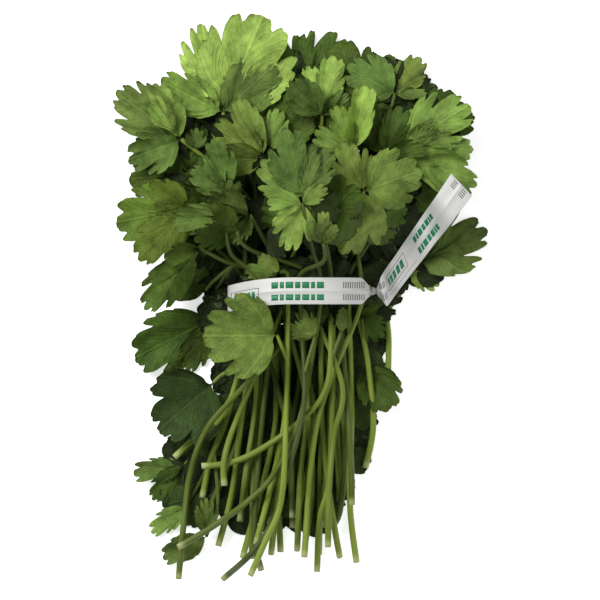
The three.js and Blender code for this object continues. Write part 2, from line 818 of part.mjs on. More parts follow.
function ringSolid(arch) {
  const stops = Array.from({ length: RING_STEPS }, (_, k) => {
    const turn = (2 * Math.PI * (k + 0.5)) / RING_STEPS;
    const [c, s] = [Math.cos(turn), Math.sin(turn)];
    const x = TIE_MIDDLE + TIE_HALF * Math.sign(c) * Math.abs(c) ** (2 / TIE_ROUNDNESS);
    const rise = Math.abs(s) ** (2 / TIE_ROUNDNESS);
    const z = s > 0 ? TIE_FLOOR_BULGE + arch * rise : Math.max(0, TIE_FLOOR_BULGE * (1 - rise) - FLAT_TRIM);
    return [x, z];
  });
  const rings = stops.map(([x, z], k) => {
    const before = stops[(k + RING_STEPS - 1) % RING_STEPS];
    const after = stops[(k + 1) % RING_STEPS];
    const along = new THREE.Vector2(after[0] - before[0], after[1] - before[1]).normalize();
    const [outX, outZ] = [along.y, -along.x];
    const narrow = smooth((x - (TIE_RIGHT - 5)) / 5);
    const half = (TIE_WIDTH * (1 - narrow) + NECK_WIDTH * narrow) / 2;
    const at = (y, out) => [x + outX * out, y + ringY(x), z + outZ * out];
    const rib = z > TIE_FLOOR_BULGE ? RIB[1] : 0;
    const outside = [at(half, 0), at(RIB[0], 0), at(0, rib), at(-RIB[0], 0), at(-half, 0)];
    return [at(-half, -TIE_THICK), at(half, -TIE_THICK), ...outside];
  });
  return loop(rings);
}

// A closed band through rings of points: the last ring joins the first.
function loop(rings) {
  const sides = rings[0].length;
  const faces = rings.flatMap((_, r) =>
    rings[0].flatMap((__, s) => {
      const [a, b] = [r * sides + s, r * sides + ((s + 1) % sides)];
      const next = (((r + 1) % rings.length) - r) * sides;
      return [[a, b + next, b], [a, a + next, b + next]];
    }),
  );
  return solid(rings.flat(), faces);
}

function twistSolid() {
  const rings = Array.from({ length: TWIST.rings }, (_, k) => {
    const share = k / (TWIST.rings - 1);
    const x = TWIST.from + (TWIST.to - TWIST.from) * share;
    const turn = 2 * Math.PI * TWIST.turns * share;
    const [c, s] = [Math.cos(turn), Math.sin(turn)];
    return [[1, 1], [-1, 1], [-1, -1], [1, -1]].map(([a, b]) => {
      const [u, v] = [(a * TWIST.wide) / 2, (b * TWIST.thick) / 2];
      return [x, u * c - v * s, TIE_FLOOR_BULGE + u * s + v * c];
    });
  });
  return skin(rings);
}

function layTail() {
  const between = (a, b, share) => [0, 1].map((axis) => a[axis] + (b[axis] - a[axis]) * share);
  const strip = Array.from({ length: TAIL.steps + 1 }, (_, k) =>
    [0, 1].map((side) => between(TAIL.start[side], TAIL.end[side], k / TAIL.steps)),
  );
  const edges = [TAIL.root, ...strip].map((pair) => pair.map(place));
  const bare = edges.map((pair) => {
    let top = 0;
    for (let n = -1; n <= 13; n += 1) {
      const [x, y] = between(pair[0], pair[1], n / 12);
      top = Math.max(top, highest(x, y, 2));
    }
    return top + CLEARANCE + TIE_THICK;
  });
  const z = bare.map((_, k) => Math.max(...bare.slice(Math.max(0, k - 1), k + 2)));
  z[0] = TIE_FLOOR_BULGE;
  z[1] = Math.max(z[1], TIE_FLOOR_BULGE);
  return edges.map((pair, k) => ({ pair, z: z[k] }));
}

function tailSolid(stops) {
  const rings = stops.map(({ pair, z }, k) => {
    const thick = k ? TIE_THICK : 1.8;
    const at = (share, up) => [
      pair[0][0] + (pair[1][0] - pair[0][0]) * share,
      pair[0][1] + (pair[1][1] - pair[0][1]) * share,
      z + up,
    ];
    const rib = RIB[0] / TIE_WIDTH;
    const above = [at(0, 0), at(0.5 - rib, 0), at(0.5, RIB[1]), at(0.5 + rib, 0), at(1, 0)];
    return [...above, at(1, -thick), at(0, -thick)];
  });
  return skin(rings);
}

layLowerStrand();
const laid = plan.map((row, k) => ({ row, branches: layStem(row, k / (plan.length - 1)) }));
const arch = layUpperStrand();
laid.forEach(layLateSides);
const tail = layTail();

const COLOURS = { young: 0x8aa83a, mid: 0x557f35, dark: 0x2f5524, tie: 0xf0f0ec };

const bunch = new THREE.Group();
function add(name, made, tone) {
  const material = new THREE.MeshStandardMaterial({ color: COLOURS[tone], roughness: 0.6, metalness: 0 });
  const mesh = new THREE.Mesh(toGeometry(made), material);
  mesh.name = name;
  bunch.add(mesh);
}
add("tie", wasm.Manifold.union([ringSolid(arch), twistSolid(), tailSolid(tail)]), "tie");
laid.forEach(({ row, branches }) => add(row.name, leafyStem(row, branches), row.tone));

export default bunch;
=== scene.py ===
"""A coriander bunch on a white surface, seen from straight above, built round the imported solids.

The bunch is laid out by the same rules and the same seeded draws as the solids, so each fine leafy stem lies
where its plain one does. Lengths in the layout are millimetres, and they become metres when meshes are made.
"""

import itertools
import math

import bpy
import numpy as np
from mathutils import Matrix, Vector

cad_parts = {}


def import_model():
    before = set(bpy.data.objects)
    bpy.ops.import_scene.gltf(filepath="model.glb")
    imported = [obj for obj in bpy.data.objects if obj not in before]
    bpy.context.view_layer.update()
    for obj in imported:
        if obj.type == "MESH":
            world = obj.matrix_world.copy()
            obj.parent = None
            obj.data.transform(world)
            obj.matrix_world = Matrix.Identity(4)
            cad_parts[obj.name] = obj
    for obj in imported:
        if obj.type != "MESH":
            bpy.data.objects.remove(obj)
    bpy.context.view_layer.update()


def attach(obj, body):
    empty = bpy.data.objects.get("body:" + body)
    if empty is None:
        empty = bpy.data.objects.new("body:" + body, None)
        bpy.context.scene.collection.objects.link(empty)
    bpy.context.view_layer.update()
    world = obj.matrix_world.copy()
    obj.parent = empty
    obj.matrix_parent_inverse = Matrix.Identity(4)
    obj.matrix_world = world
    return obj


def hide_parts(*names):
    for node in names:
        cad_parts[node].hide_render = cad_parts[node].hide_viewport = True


# Driving dimensions, as in the part. The plan is drawn in picture pixels, and the tie's width gives them
# their size.
TIE_WIDTH = 12.7
TIE_PIXELS = 26.5
MM_PER_PIXEL = TIE_WIDTH / TIE_PIXELS
ORIGIN_PIXEL = (301, 291)
TIE_THICK = 0.8
TIE_LEFT = -35.5
TIE_RIGHT = 33.5
TIE_FLOOR_BULGE = 9
TIE_ROUNDNESS = 2.5
BLADE_THICK = 0.64
STEM_FOOT = 1.55
STEM_TOP = 0.95
SIDE_TIP = 0.85
CLEARANCE = 0.6
STEM_STEP = 2
SMOOTHING_STEPS = 4
STEM_CLIMB = 0.9
THICK_STEM = 1.25
METRES = 0.001

seed = 20457


def draw(low, high):
    """The next number of the seeded draw that the layout is made with."""
    global seed
    seed = (seed * 1664525 + 1013904223) % 4294967296
    return low + (high - low) * seed / 4294967296


def place(pixel):
    return ((pixel[0] - ORIGIN_PIXEL[0]) * MM_PER_PIXEL, (ORIGIN_PIXEL[1] - pixel[1]) * MM_PER_PIXEL)


# Plan of the bunch. A tip is (x, y, half spread in degrees), with its neck share and its tone if it needs
# them. A side branch is (where it leaves the stem, points, node, tips, whether it is laid over the tie). The
# first two rows lie low.
ROW = ("name", "tone", "cut end", "points below", "waist", "points above", "node", "tips", "sides")
DRAWN = [
    ("right_outer", "mid", (389, 380), [(390, 340), (389, 312)], None, [(401, 294)], (411, 266),
     [(440, 286, 26, 0.05, "fresh"), (487, 228, 29, 0.4, "mid")], []),
    ("right_edge", "dark", (366, 470), [(374, 426), (368, 360)], 357, [(362, 240)], (372, 205),
     [(402, 168, 26), (398, 214, 26)],
     [((366, 345), [], (362, 318), [(384, 338, 40), (378, 306, 20, 0.1)], False),
      ((371, 400), [], (369, 366), [(388, 412, 34, 0.05)], False)]),
    ("top_left_young", "young", (297, 553), [(300, 480), (306, 400)], 302, [(288, 230), (256, 165)],
     (222, 111),
     [(201, 22, 22, 0.42), (262, 16, 36, 0.1), (274, 64, 28, 0.05, "mid"), (160, 80, 20, 0.1, "fresh")], []),
    ("top_middle", "young", (317, 575), [(320, 520), (330, 470)], 318, [(322, 200)], (322, 114),
     [(309, 64, 18, 0.15), (334, 55, 17, 0.1), (289, 82, 28, 0, "soft"), (347, 92, 18, 0, "mid")], []),
    ("top_right", "dark", (331, 530), [(340, 513), (345, 459), (340, 400)], 338, [(368, 190)], (396, 92),
     [(347, 66, 34), (421, 55, 26, 0.1, "light"), (427, 92, 14, 0.1)], []),
    ("left_top", "dark", (340, 560), [(330, 500), (322, 420)], 281, [(265, 237), (242, 190)], (180, 138),
     [(115, 92, 24, 0.25, "mid"), (154, 83, 20, 0.1, "fresh"), (128, 160, 30, 0.05)], []),
    ("right_high", "mid", (357, 566), [(350, 500), (352, 400)], 349, [(378, 225)], (402, 147),
     [(468, 106, 27, 0.12, "fresh"), (472, 150, 17, 0.1, "mid"), (474, 187, 18, 0.2), (436, 123, 14, 0.1)],
     []),
    ("left_middle", "mid", (239, 524), [(246, 470), (256, 394)], 262, [(236, 245)], (190, 208),
     [(118, 223, 34), (140, 259, 22, 0.1), (150, 186, 24, 0.1)], []),
    ("left_low", "dark", (217, 549), [(232, 490), (244, 400)], 244, [(226, 262)], (200, 248),
     [(167, 262, 24), (146, 308, 17, 0.35)],
     [((232, 268), [(212, 282)], (205, 290), [(164, 293, 16)], False),
      ((232, 268), [(214, 292)], (210, 319), [(133, 359, 25, 0, "dark"), (186, 372, 18, 0.3)], False)]),
    ("centre_top", "mid", (261, 572), [(254, 530), (262, 420)], 270, [(274, 210)], (265, 158),
     [(213, 125, 20, 0.1), (238, 98, 15, 0.25), (277, 108, 20, 0.25), (212, 161, 22, 0.05)], []),
    ("upper_right_dark", "dark", (352, 506), [(350, 440)], 344, [(372, 220)], (385, 155),
     [(365, 101, 24), (400, 107, 20, 0.1), (424, 150, 20, 0.1)], []),
    ("upper_young", "young", (305, 545), [(312, 470)], 324, [(346, 215)], (353, 151),
     [(365, 87, 14, 0.15, "young"), (336, 106, 18, 0.1), (314, 132, 28, 0.1, "light")], []),
    ("centre_left", "mid", (224, 486), [(229, 440)], 254, [(264, 240)], (250, 215),
     [(207, 202, 30), (176, 222, 15, 0.3), (233, 244, 24)], []),
    ("centre_middle", "mid", (201, 467), [(226, 464), (256, 452), (300, 421), (327, 384)], 339,
     [(322, 235)], (303, 199), [(261, 164, 30, 0, "light"), (287, 132, 26, 0.05), (326, 152, 22, 0.05)],
     [((337, 362), [], (341, 332), [(344, 308, 20)], False)]),
    ("centre_low", "young", (177, 549), [(215, 526), (247, 502), (273, 475), (300, 418)], 316,
     [(312, 250)], (302, 205), [(268, 204, 26), (288, 251, 32), (326, 190, 24)], []),
    ("lower_centre", "young", (222, 582), [(240, 565), (261, 541), (276, 512), (288, 470), (304, 400)],
     308, [(323, 262)], (323, 244), [(309, 224, 20), (323, 213, 18), (336, 226, 20)],
     [((306, 372), [], (315, 336), [(285, 328, 20), (299, 310, 24)], False)]),
    ("waist_tuft", "young", (250, 575), [(265, 541), (281, 500), (286, 420)], 288, [], (280, 272),
     [(246, 271, 19), (258, 256, 20)],
     [((286, 362), [], (277, 335), [(205, 336, 47)], True)]),
    ("centre_right", "young", (328, 548), [(329, 490), (334, 436), (342, 385)], 332, [(350, 240)],
     (364, 191), [(342, 143, 30), (420, 172, 38, 0, "fresh"), (344, 254, 40)], []),
    ("lower_left", "dark", (177, 582), [(183, 520), (189, 475), (206, 430), (240, 390)], 266,
     [(250, 250)], (238, 232), [(196, 240, 22), (214, 205, 22)],
     [((252, 366), [(228, 372)], (212, 384), [(158, 432, 44, 0, "shade")], False)]),
    ("left_short", "dark", (173, 459), [(192, 441), (226, 410)], 250, [(232, 255)], (226, 228),
     [(185, 205, 24), (232, 180, 22)],
     [((232, 398), [(206, 436)], (182, 468), [(132, 475, 17, 0.1, "mid"), (150, 502, 19)], False)]),
    ("lower_left_little", "mid", (201, 500), [(210, 460), (232, 400)], 258, [(242, 230)], (228, 190),
     [(190, 172, 26), (214, 140, 22)],
     [((213, 452), [(200, 482)], (184, 510), [(149, 535, 19, 0.05, "fresh")], False),
      ((213, 452), [(217, 505)], (205, 540), [(161, 561, 20, 0, "mid"), (206, 500, 22, 0.2)], False)]),
]
UNDER_DRAWN = 2
UNDER_NODES = [(262, 236), (352, 238), (200, 196), (400, 186)]
INSIDE_NODES = [
    (236, 118), (300, 82), (362, 92), (418, 128), (186, 172), (340, 138), (276, 148), (404, 178), (222, 204),
    (214, 246), (304, 232), (352, 222),
]
FILLER_HEAD_START = 55
FILLER_SPREAD = 42
FILLER_AIM = 29
FILLER_BEND = 420
FILLER_NECK = 0.05
UNDER_LEAF = 62
INSIDE_LEAF = 58


def plan_row(values, inside=False):
    return {**dict(zip(ROW, values)), "inside": inside}


def filler(name, node, leaf_pixels):
    """A leafy stem of the dark inside of the bunch, which leans away from the tie."""
    x, y = ORIGIN_PIXEL
    waist = x + (node[0] - x) * 0.32 + draw(-20, 20)
    cut = (waist + draw(-82, 26), draw(500, 562))
    aim = math.atan2(node[1] - y + FILLER_AIM, node[0] - x) + draw(-0.3, 0.3)
    tips = []
    for side in (-0.66, 0.66):
        angle = aim + side + draw(-0.15, 0.15)
        length = leaf_pixels * 1.05 * draw(0.85, 1.15)
        end = (node[0] + length * math.cos(angle), node[1] + length * math.sin(angle))
        tips.append((*end, FILLER_SPREAD, FILLER_NECK))
    below = [((cut[0] + waist) / 2 + draw(-6, 6), FILLER_BEND)]
    return plan_row((name, "dark", cut, below, waist, [], node, tips, []), inside=True)


def from_tie(row):
    away = math.dist(row["node"], ORIGIN_PIXEL)
    return away + (FILLER_HEAD_START if row["inside"] else 0)


def make_plan():
    """Every leafy stem from the surface up."""
    drawn = [plan_row((f"stem_{name}", *rest)) for name, *rest in DRAWN]
    under = [filler(f"stem_under_{k + 1}", node, UNDER_LEAF) for k, node in enumerate(UNDER_NODES)]
    inside = [filler(f"stem_inner_{k + 1}", node, INSIDE_LEAF) for k, node in enumerate(INSIDE_NODES)]
    rest = inside + drawn[UNDER_DRAWN:]
    return under + drawn[:UNDER_DRAWN] + sorted(rest, key=from_tie, reverse=True)


# Map of how high the bunch stands so far. Whatever comes next is laid over it.
MAP_LOW = (-110, -160)
MAP_SIZE = (220, 320)
heights = np.full(MAP_SIZE, -CLEARANCE)


def cells(x, y, step=1):
    return tuple(np.floor((np.asarray(v) - low) / step).astype(int) for v, low in zip((x, y), MAP_LOW))


def steps(reach):
    """Every step of up to that many cells along both axes."""
    return list(itertools.product(range(-reach, reach + 1), repeat=2))


def highest(x, y, reach):
    i, j = cells(x, y)
    return np.max([heights[i + di, j + dj] for di, dj in steps(reach)], axis=0)


def cover(x, y, reach, z):
    i, j = cells(x, y)
    for di, dj in steps(reach):
        np.maximum.at(heights, (i + di, j + dj), z)


TIE_MIDDLE = (TIE_LEFT + TIE_RIGHT) / 2
TIE_HALF = (TIE_RIGHT - TIE_LEFT) / 2


def ring_share(x):
    """The tie's ring as a share of its height at each x."""
    inside = np.maximum(0, 1 - np.abs((np.asarray(x) - TIE_MIDDLE) / TIE_HALF) ** TIE_ROUNDNESS)
    return inside ** (1 / TIE_ROUNDNESS)


def ring_y(x):
    return -3.8 * np.maximum(0, (-np.asarray(x) - 5) / 30) ** 2


def band_grid(margin):
    x, y = np.meshgrid(
        np.arange(TIE_LEFT, TIE_RIGHT + 0.01, 0.5),
        np.arange(-TIE_WIDTH / 2 - margin, TIE_WIDTH / 2 + margin + 0.01, 0.5),
    )
    return x.ravel(), y.ravel()


def lay_lower_strand():
    x, y = band_grid(1.5)
    cover(x, y + ring_y(x), 0, TIE_FLOOR_BULGE * (1 - ring_share(x)) + TIE_THICK)


def even_line(points, step):
    """A smooth line through the given points, resampled at even steps."""
    points = np.array(points, float)
    last = len(points) - 1
    t = (np.arange(16) / 16)[:, None]
    h = t * t * (3 - 2 * t)
    spans = []
    for k in range(last):
        a, b, c, d = points[max(0, k - 1)], points[k], points[k + 1], points[min(last, k + 2)]
        bend = (c - a) / 2 * t * (1 - t) ** 2 - (d - b) / 2 * t * t * (1 - t)
        spans.append(b * (1 - h) + c * h + bend)
    fine = np.vstack([*spans, points[last:]])
    along = np.concatenate([[0], np.cumsum(np.hypot(*np.diff(fine, axis=0).T))])
    count = max(2, math.ceil(along[-1] / step))
    wanted = along[-1] * np.arange(count + 1) / count
    return np.column_stack([np.interp(wanted, along, fine[:, axis]) for axis in (0, 1)])


def smooth(t):
    u = np.clip(t, 0, 1)
    return u * u * (3 - 2 * u)


def windowed(values, half, take):
    return np.array([take(values[max(0, k - half) : k + half + 1]) for k in range(len(values))])


def lift_smoothly(values):
    """The highest value in each window, then averaged twice: never below the first."""
    half = SMOOTHING_STEPS // 2
    return windowed(windowed(windowed(values, SMOOTHING_STEPS, np.max), half, np.mean), half, np.mean)


# A leaflet grows from its node, with lobes and teeth round its far edge. "across" runs from -1 to 1 over its
# spread, and "out" from 0 at the node to 1 at the edge.
LOBES = (-0.68, 0, 0.68)
LOBE_REACH = (0.86, 1, 0.86)
SHOULDER = 0.58
STEEPEST_UP = 0.55
STEEPEST_DOWN = -0.85
NODE_SHARE = 0.15
LEAF_FORM = {
    "tooth": (0.07, 0.12), "sinus": (0.16, 0.34), "lift": (-0.5, 0.12),
    "droop": (-0.04, 0.22), "fold": (-0.08, 0.16), "twist": (-0.12, 0.12),
}


def drawn_form(spans):
    return {title: draw(*span) for title, span in spans.items()}


def leaflet(node, x, y, spread, neck=0, tone=None):
    end = place((x, y))
    return {
        "node": node,
        "tone": tone,
        "length": math.hypot(end[0] - node[0], end[1] - node[1]),
        "angle": math.atan2(end[1] - node[1], end[0] - node[0]),
        "spread": math.radians(spread),
        "neck": neck,
        **drawn_form(LEAF_FORM),
    }


def plain_reach(leaf, across):
    """The far edge of the plain blade that the layout makes room for."""
    points = [(-1, SHOULDER)]
    for k, middle in enumerate(LOBES):
        notch = 0.97 - leaf["tooth"]
        for shift, share in ((-0.2, 0.92), (-0.1, notch), (0, 1), (0.1, notch), (0.2, 0.92)):
            points.append((middle + shift, LOBE_REACH[k] * share))
        if k < 2:
            points.append((middle + 0.34, 0.9 * (1 - leaf["sinus"])))
    points.append((1, SHOULDER))
    return np.interp(across, *zip(*points))


def leaf_spot(leaf, out, across, reach, spread=None):
    opened = 0.16 + 0.84 * smooth((out - leaf["neck"]) / 0.45)
    angle = leaf["angle"] + across * (spread or leaf["spread"]) * opened
    distance = out * reach * leaf["length"]
    return leaf["node"][0] + distance * np.cos(angle), leaf["node"][1] + distance * np.sin(angle)


def leaf_bend(leaf, out, across):
    sideways = leaf["fold"] * np.abs(across) + leaf["twist"] * across
    return leaf["length"] * out * (sideways - leaf["droop"] * out)


def rest_leaves(leaves, node):
    """Each leaflet turns about its node until it rests on what lies below. The node is raised if it must."""
    base = float(highest(node[0], node[1], 3)) + CLEARANCE + STEM_TOP
    out, across = (grid.ravel() for grid in np.meshgrid(np.arange(25) / 24, np.arange(-16, 17) / 16))
    settled = []
    for leaf in leaves:
        sideways = (abs(leaf["fold"]) + abs(leaf["twist"])) / leaf["spread"]
        half = 0.5 * BLADE_THICK * math.sqrt(1 + 0.6 * 0.6 + sideways * sideways)
        x, y = leaf_spot(leaf, out, across, plain_reach(leaf, across))
        bend = leaf_bend(leaf, out, across)
        under = np.maximum(0, highest(x, y, 1)) + CLEARANCE + half
        settled.append({"x": x, "y": y, "out": out, "bend": bend, "half": half, "under": under})
    for leaf, one in zip(leaves, settled):
        base = max(base, float(np.max(one["under"] - one["bend"] - leaf["length"] * STEEPEST_UP * out)))
    return base, settled


def tilt_leaves(leaves, base, settled):
    for leaf, one in zip(leaves, settled):
        far = one["out"] >= NODE_SHARE
        steep = (one["under"] - base - one["bend"])[far] / (leaf["length"] * one["out"][far])
        leaf["lift"] = max(leaf["lift"], STEEPEST_DOWN, float(steep.max()))
        leaf["base"] = base


def lay_branch(points, foot, top, tips, wanted):
    """One branch: its line in plan, its heights, and the leaflets at its end."""
    line = even_line(points, STEM_STEP)
    node = line[-1]
    n = len(line) - 1
    share = np.arange(n + 1) / n
    radius = foot + (top - foot) * share
    leaves = [leaflet(node, *tip) for tip in tips]
    base, settled = rest_leaves(leaves, node)
    thick = highest(line[:, 0], line[:, 1], 2)
    thin = highest(line[:, 0], line[:, 1], 1)
    bare = np.where(radius > THICK_STEM, thick, thin) + CLEARANCE + radius
    ramp = base - (n - np.arange(n + 1)) * STEM_STEP * STEM_CLIMB
    z = lift_smoothly(np.maximum(np.maximum(bare, wanted(line)), ramp))
    tilt_leaves(leaves, max(base, z[n]), settled)
    return {"line": line, "z": z, "radius": radius, "leaves": leaves, "settled": settled}


def cover_branch(branch):
    line = branch["line"]
    cover(line[:, 0], line[:, 1], 1, branch["z"] + branch["radius"] + 0.25)
    for leaf, one in zip(branch["leaves"], branch["settled"]):
        rise = leaf["lift"] * leaf["length"] * one["out"]
        cover(one["x"], one["y"], 1, leaf["base"] + rise + one["bend"] + one["half"])


def row_heights(line, share):
    """Where a stem lies if nothing lifts it: near the floor at its cut end, and in its row at the tie."""
    floor = TIE_FLOOR_BULGE * (1 - ring_share(line[:, 0])) + TIE_THICK
    ceiling = TIE_FLOOR_BULGE + 12 * ring_share(line[:, 0])
    waist = floor + STEM_FOOT + (ceiling - floor - 2 * STEM_FOOT) * share
    below = smooth(-line[:, 1] / 110)
    return np.where(line[:, 1] < 0, waist * (1 - below) + (STEM_FOOT + 5 * share) * below, waist)


WAIST_LIMITS = (241, 361)
WAIST_SHIFTS = range(-48, 49, 4)
GATE_HALF = 16
NEAR_TIE = 30
SHIFT_COST = 0.04


def stem_points(row, waist):
    gate = [] if waist is None else [(waist, ORIGIN_PIXEL[1] + half) for half in (GATE_HALF, -GATE_HALF)]
    pixels = (row["cut end"], *row["points below"], *gate, *row["points above"], row["node"])
    return [place(p) for p in pixels]


def neat_points(row):
    """The stem's points, with the lowest gap at the tie that lies near its own column."""
    if row["waist"] is None:
        return stem_points(row, None)
    best, best_cost = None, math.inf
    for shift in WAIST_SHIFTS:
        waist = min(WAIST_LIMITS[1], max(WAIST_LIMITS[0], row["waist"] + shift))
        points = stem_points(row, waist)
        line = even_line(points, STEM_STEP)
        near = line[np.abs(line[:, 1]) < NEAR_TIE]
        tops = highest(near[:, 0], near[:, 1], 2)
        cost = tops.max() + tops.mean() + SHIFT_COST * abs(shift)
        if cost < best_cost:
            best, best_cost = points, cost
    return best


def nearest_to(line, point):
    return int(np.argmin(np.hypot(line[:, 0] - point[0], line[:, 1] - point[1])))


def lay_side(side, main_line):
    start, via, node, tips, _ = side
    joint = nearest_to(main_line, place(start))
    points = [main_line[joint], *[place(p) for p in (*via, node)]]
    branch = lay_branch(points, STEM_TOP, STEM_TOP * SIDE_TIP, tips, lambda line: np.zeros(len(line)))
    return {**branch, "joint": joint}


def lay_stem(row, share):
    points = neat_points(row)
    plain = even_line(points, STEM_STEP)
    sides = [lay_side(side, plain) for side in row["sides"] if not side[4]]

    def wanted(line):
        z = np.zeros(len(line)) if row["waist"] is None else row_heights(line, share)
        for side in sides:
            near = slice(side["joint"] - 1, side["joint"] + 2)
            z[near] = np.maximum(z[near], side["z"][0])
        return z

    main = lay_branch(points, STEM_FOOT, STEM_TOP, row["tips"], wanted)
    for side in sides:
        n = len(side["z"]) - 1
        side["z"] = side["z"] + (main["z"][side["joint"]] - side["z"][0]) * (1 - np.arange(n + 1) / n)
    for branch in (main, *sides):
        cover_branch(branch)
    return [main, *sides]


DIP_STEPS = 4


def lay_late_sides(row, branches):
    """Side branches that lie over the tie are laid after it, from the top of their own stem."""
    main = branches[0]
    for side in (one for one in row["sides"] if one[4]):
        branch = lay_side(side, main["line"])
        drop = main["z"][branch["joint"]] - branch["z"][0]
        branch["z"] = branch["z"] + drop * (1 - smooth(np.arange(len(branch["z"])) / DIP_STEPS))
        for leaf in branch["leaves"]:
            leaf["over_tie"] = True
        cover_branch(branch)
        branches.append(branch)


RIB = (1.1, 0.45)
LEAST_ARCH = 11


def lay_upper_strand():
    """Raises the tie's arch until it clears every stem, and returns its height."""
    x, y = band_grid(0.5)
    inner = (x >= TIE_LEFT + 2) & (x <= TIE_RIGHT - 2)
    x, y = x[inner], y[inner]
    room = highest(x, y + ring_y(x), 1) + CLEARANCE + TIE_THICK * 1.4 - TIE_FLOOR_BULGE
    arch = max(LEAST_ARCH, float((room / ring_share(x)).max()))
    x, y = band_grid(0)
    cover(x, y + ring_y(x), 1, TIE_FLOOR_BULGE + arch * ring_share(x) + RIB[1])
    return arch


TAIL_ROOT = ((377, 288.5), (377, 294))
TAIL_START = ((381, 277.5), (387.5, 307))
TAIL_END = ((450, 174.5), (470.5, 196.5))
TAIL_STEPS = 8


def between(a, b, share):
    return tuple(a[axis] + (b[axis] - a[axis]) * share for axis in (0, 1))


def lay_tail():
    """The tail's two edges and its height at each stop."""
    edges = [TAIL_ROOT]
    for k in range(TAIL_STEPS + 1):
        edges.append([between(TAIL_START[s], TAIL_END[s], k / TAIL_STEPS) for s in (0, 1)])
    edges = [[place(p) for p in pair] for pair in edges]
    bare = []
    for pair in edges:
        line = np.array([between(*pair, n / 12) for n in range(-1, 14)])
        bare.append(max(0, highest(line[:, 0], line[:, 1], 2).max()) + CLEARANCE + TIE_THICK)
    z = windowed(np.array(bare), 1, np.max)
    z[0] = TIE_FLOOR_BULGE
    z[1] = max(z[1], TIE_FLOOR_BULGE)
    return edges, z


def tail_lines(tail, count, stops):
    """The x, y and height of lines across the tail, so many from each of its stops to the next."""
    edges, z = tail
    for k in range(len(z) - 1):
        for along in np.linspace(0, 1, count):
            pair = [between(edges[k][side], edges[k + 1][side], along) for side in (0, 1)]
            x, y = np.array([between(*pair, stop) for stop in stops]).T
            yield x, y, z[k] + (z[k + 1] - z[k]) * along


def cover_tail(tail):
    for x, y, z in tail_lines(tail, 12, np.arange(13) / 12):
        cover(x, y, 0, z)


# How high leaves may stand under the tie and beside it, so that none of them comes through it.
LIMIT_HIGH = 99.0
LIMIT_SLOPE = 1.0
LIMIT_REACH = 40
UNDER_TIE = 1.2
UNDER_TWIST = 6.2
tie_cells = np.zeros(MAP_SIZE, bool)
limit = np.full(MAP_SIZE, LIMIT_HIGH)


def mark_tie(x, y, z):
    spots = cells(x, y)
    tie_cells[spots] = True
    np.minimum.at(limit, spots, z)


def keep_tie_clear(arch, tail):
    """Marks the tie's ring, twist and tail, and lets the limit rise away from them."""
    x, y = band_grid(0.5)
    mark_tie(x, y + ring_y(x), TIE_FLOOR_BULGE + arch * ring_share(x) - UNDER_TIE)
    x, y = np.meshgrid(np.arange(TIE_RIGHT - 2, 41, 0.5), np.arange(-3, 3.1, 0.5))
    mark_tie(x.ravel(), y.ravel(), UNDER_TWIST)
    for x, y, z in tail_lines(tail, 16, np.arange(-1, 28) / 26):
        mark_tie(x, y, z - UNDER_TIE)
    for _ in range(LIMIT_REACH):
        for axis in (0, 1):
            for step in (-1, 1):
                np.minimum(limit, np.roll(limit, step, axis) + LIMIT_SLOPE, out=limit)


def limit_at(x, y):
    """The limit between the middles of the cells."""
    u, v = x - MAP_LOW[0] - 0.5, y - MAP_LOW[1] - 0.5
    i, j = np.floor(u).astype(int), np.floor(v).astype(int)
    a, b = u - i, v - j
    near = limit[i, j] * (1 - a) + limit[i + 1, j] * a
    far = limit[i, j + 1] * (1 - a) + limit[i + 1, j + 1] * a
    return near * (1 - b) + far * b


def lay_bunch():
    lay_lower_strand()
    plan = make_plan()
    laid = [(row, lay_stem(row, k / (len(plan) - 1))) for k, row in enumerate(plan)]
    arch = lay_upper_strand()
    for row, branches in laid:
        lay_late_sides(row, branches)
    tail = lay_tail()
    cover_tail(tail)
    keep_tie_clear(arch, tail)
    return laid, arch, tail


# Meshes


def new_mesh(name, points, faces, material, attributes=()):
    """A smooth-shaded mesh object from points in millimetres, with named values at its points."""
    mesh = bpy.data.meshes.new(name)
    mesh.from_pydata((np.asarray(points) * METRES).tolist(), [], faces)
    for title, values in attributes:
        kind = "FLOAT_VECTOR" if np.ndim(values[0]) else "FLOAT"
        layer = mesh.attributes.new(title, kind, "POINT")
        layer.data.foreach_set("vector" if kind == "FLOAT_VECTOR" else "value", np.ravel(values).astype("f"))
    mesh.polygons.foreach_set("use_smooth", [True] * len(mesh.polygons))
    mesh.materials.append(material)
    obj = bpy.data.objects.new(name, mesh)
    bpy.context.scene.collection.objects.link(obj)
    return obj


def grid_faces(rows, columns, start, flip):
    faces = []
    for r in range(rows - 1):
        for a in range(start + r * columns, start + (r + 1) * columns - 1):
            quad = (a, a + 1, a + columns + 1, a + columns)
            faces.append(quad[::-1] if flip else quad)
    return faces


def ring_faces(count, sides, start=0, closed=False):
    """Faces along a row of rings, which is joined up or else has flat ends."""
    faces = []
    for r in range(count if closed else count - 1):
        here, after = start + r * sides, start + (r + 1) % count * sides
        for s in range(sides):
            t = (s + 1) % sides
            faces.append((here + s, here + t, after + t, after + s))
    if not closed:
        last = start + (count - 1) * sides
        faces += [tuple(range(start, start + sides))[::-1], tuple(range(last, last + sides))]
    return faces


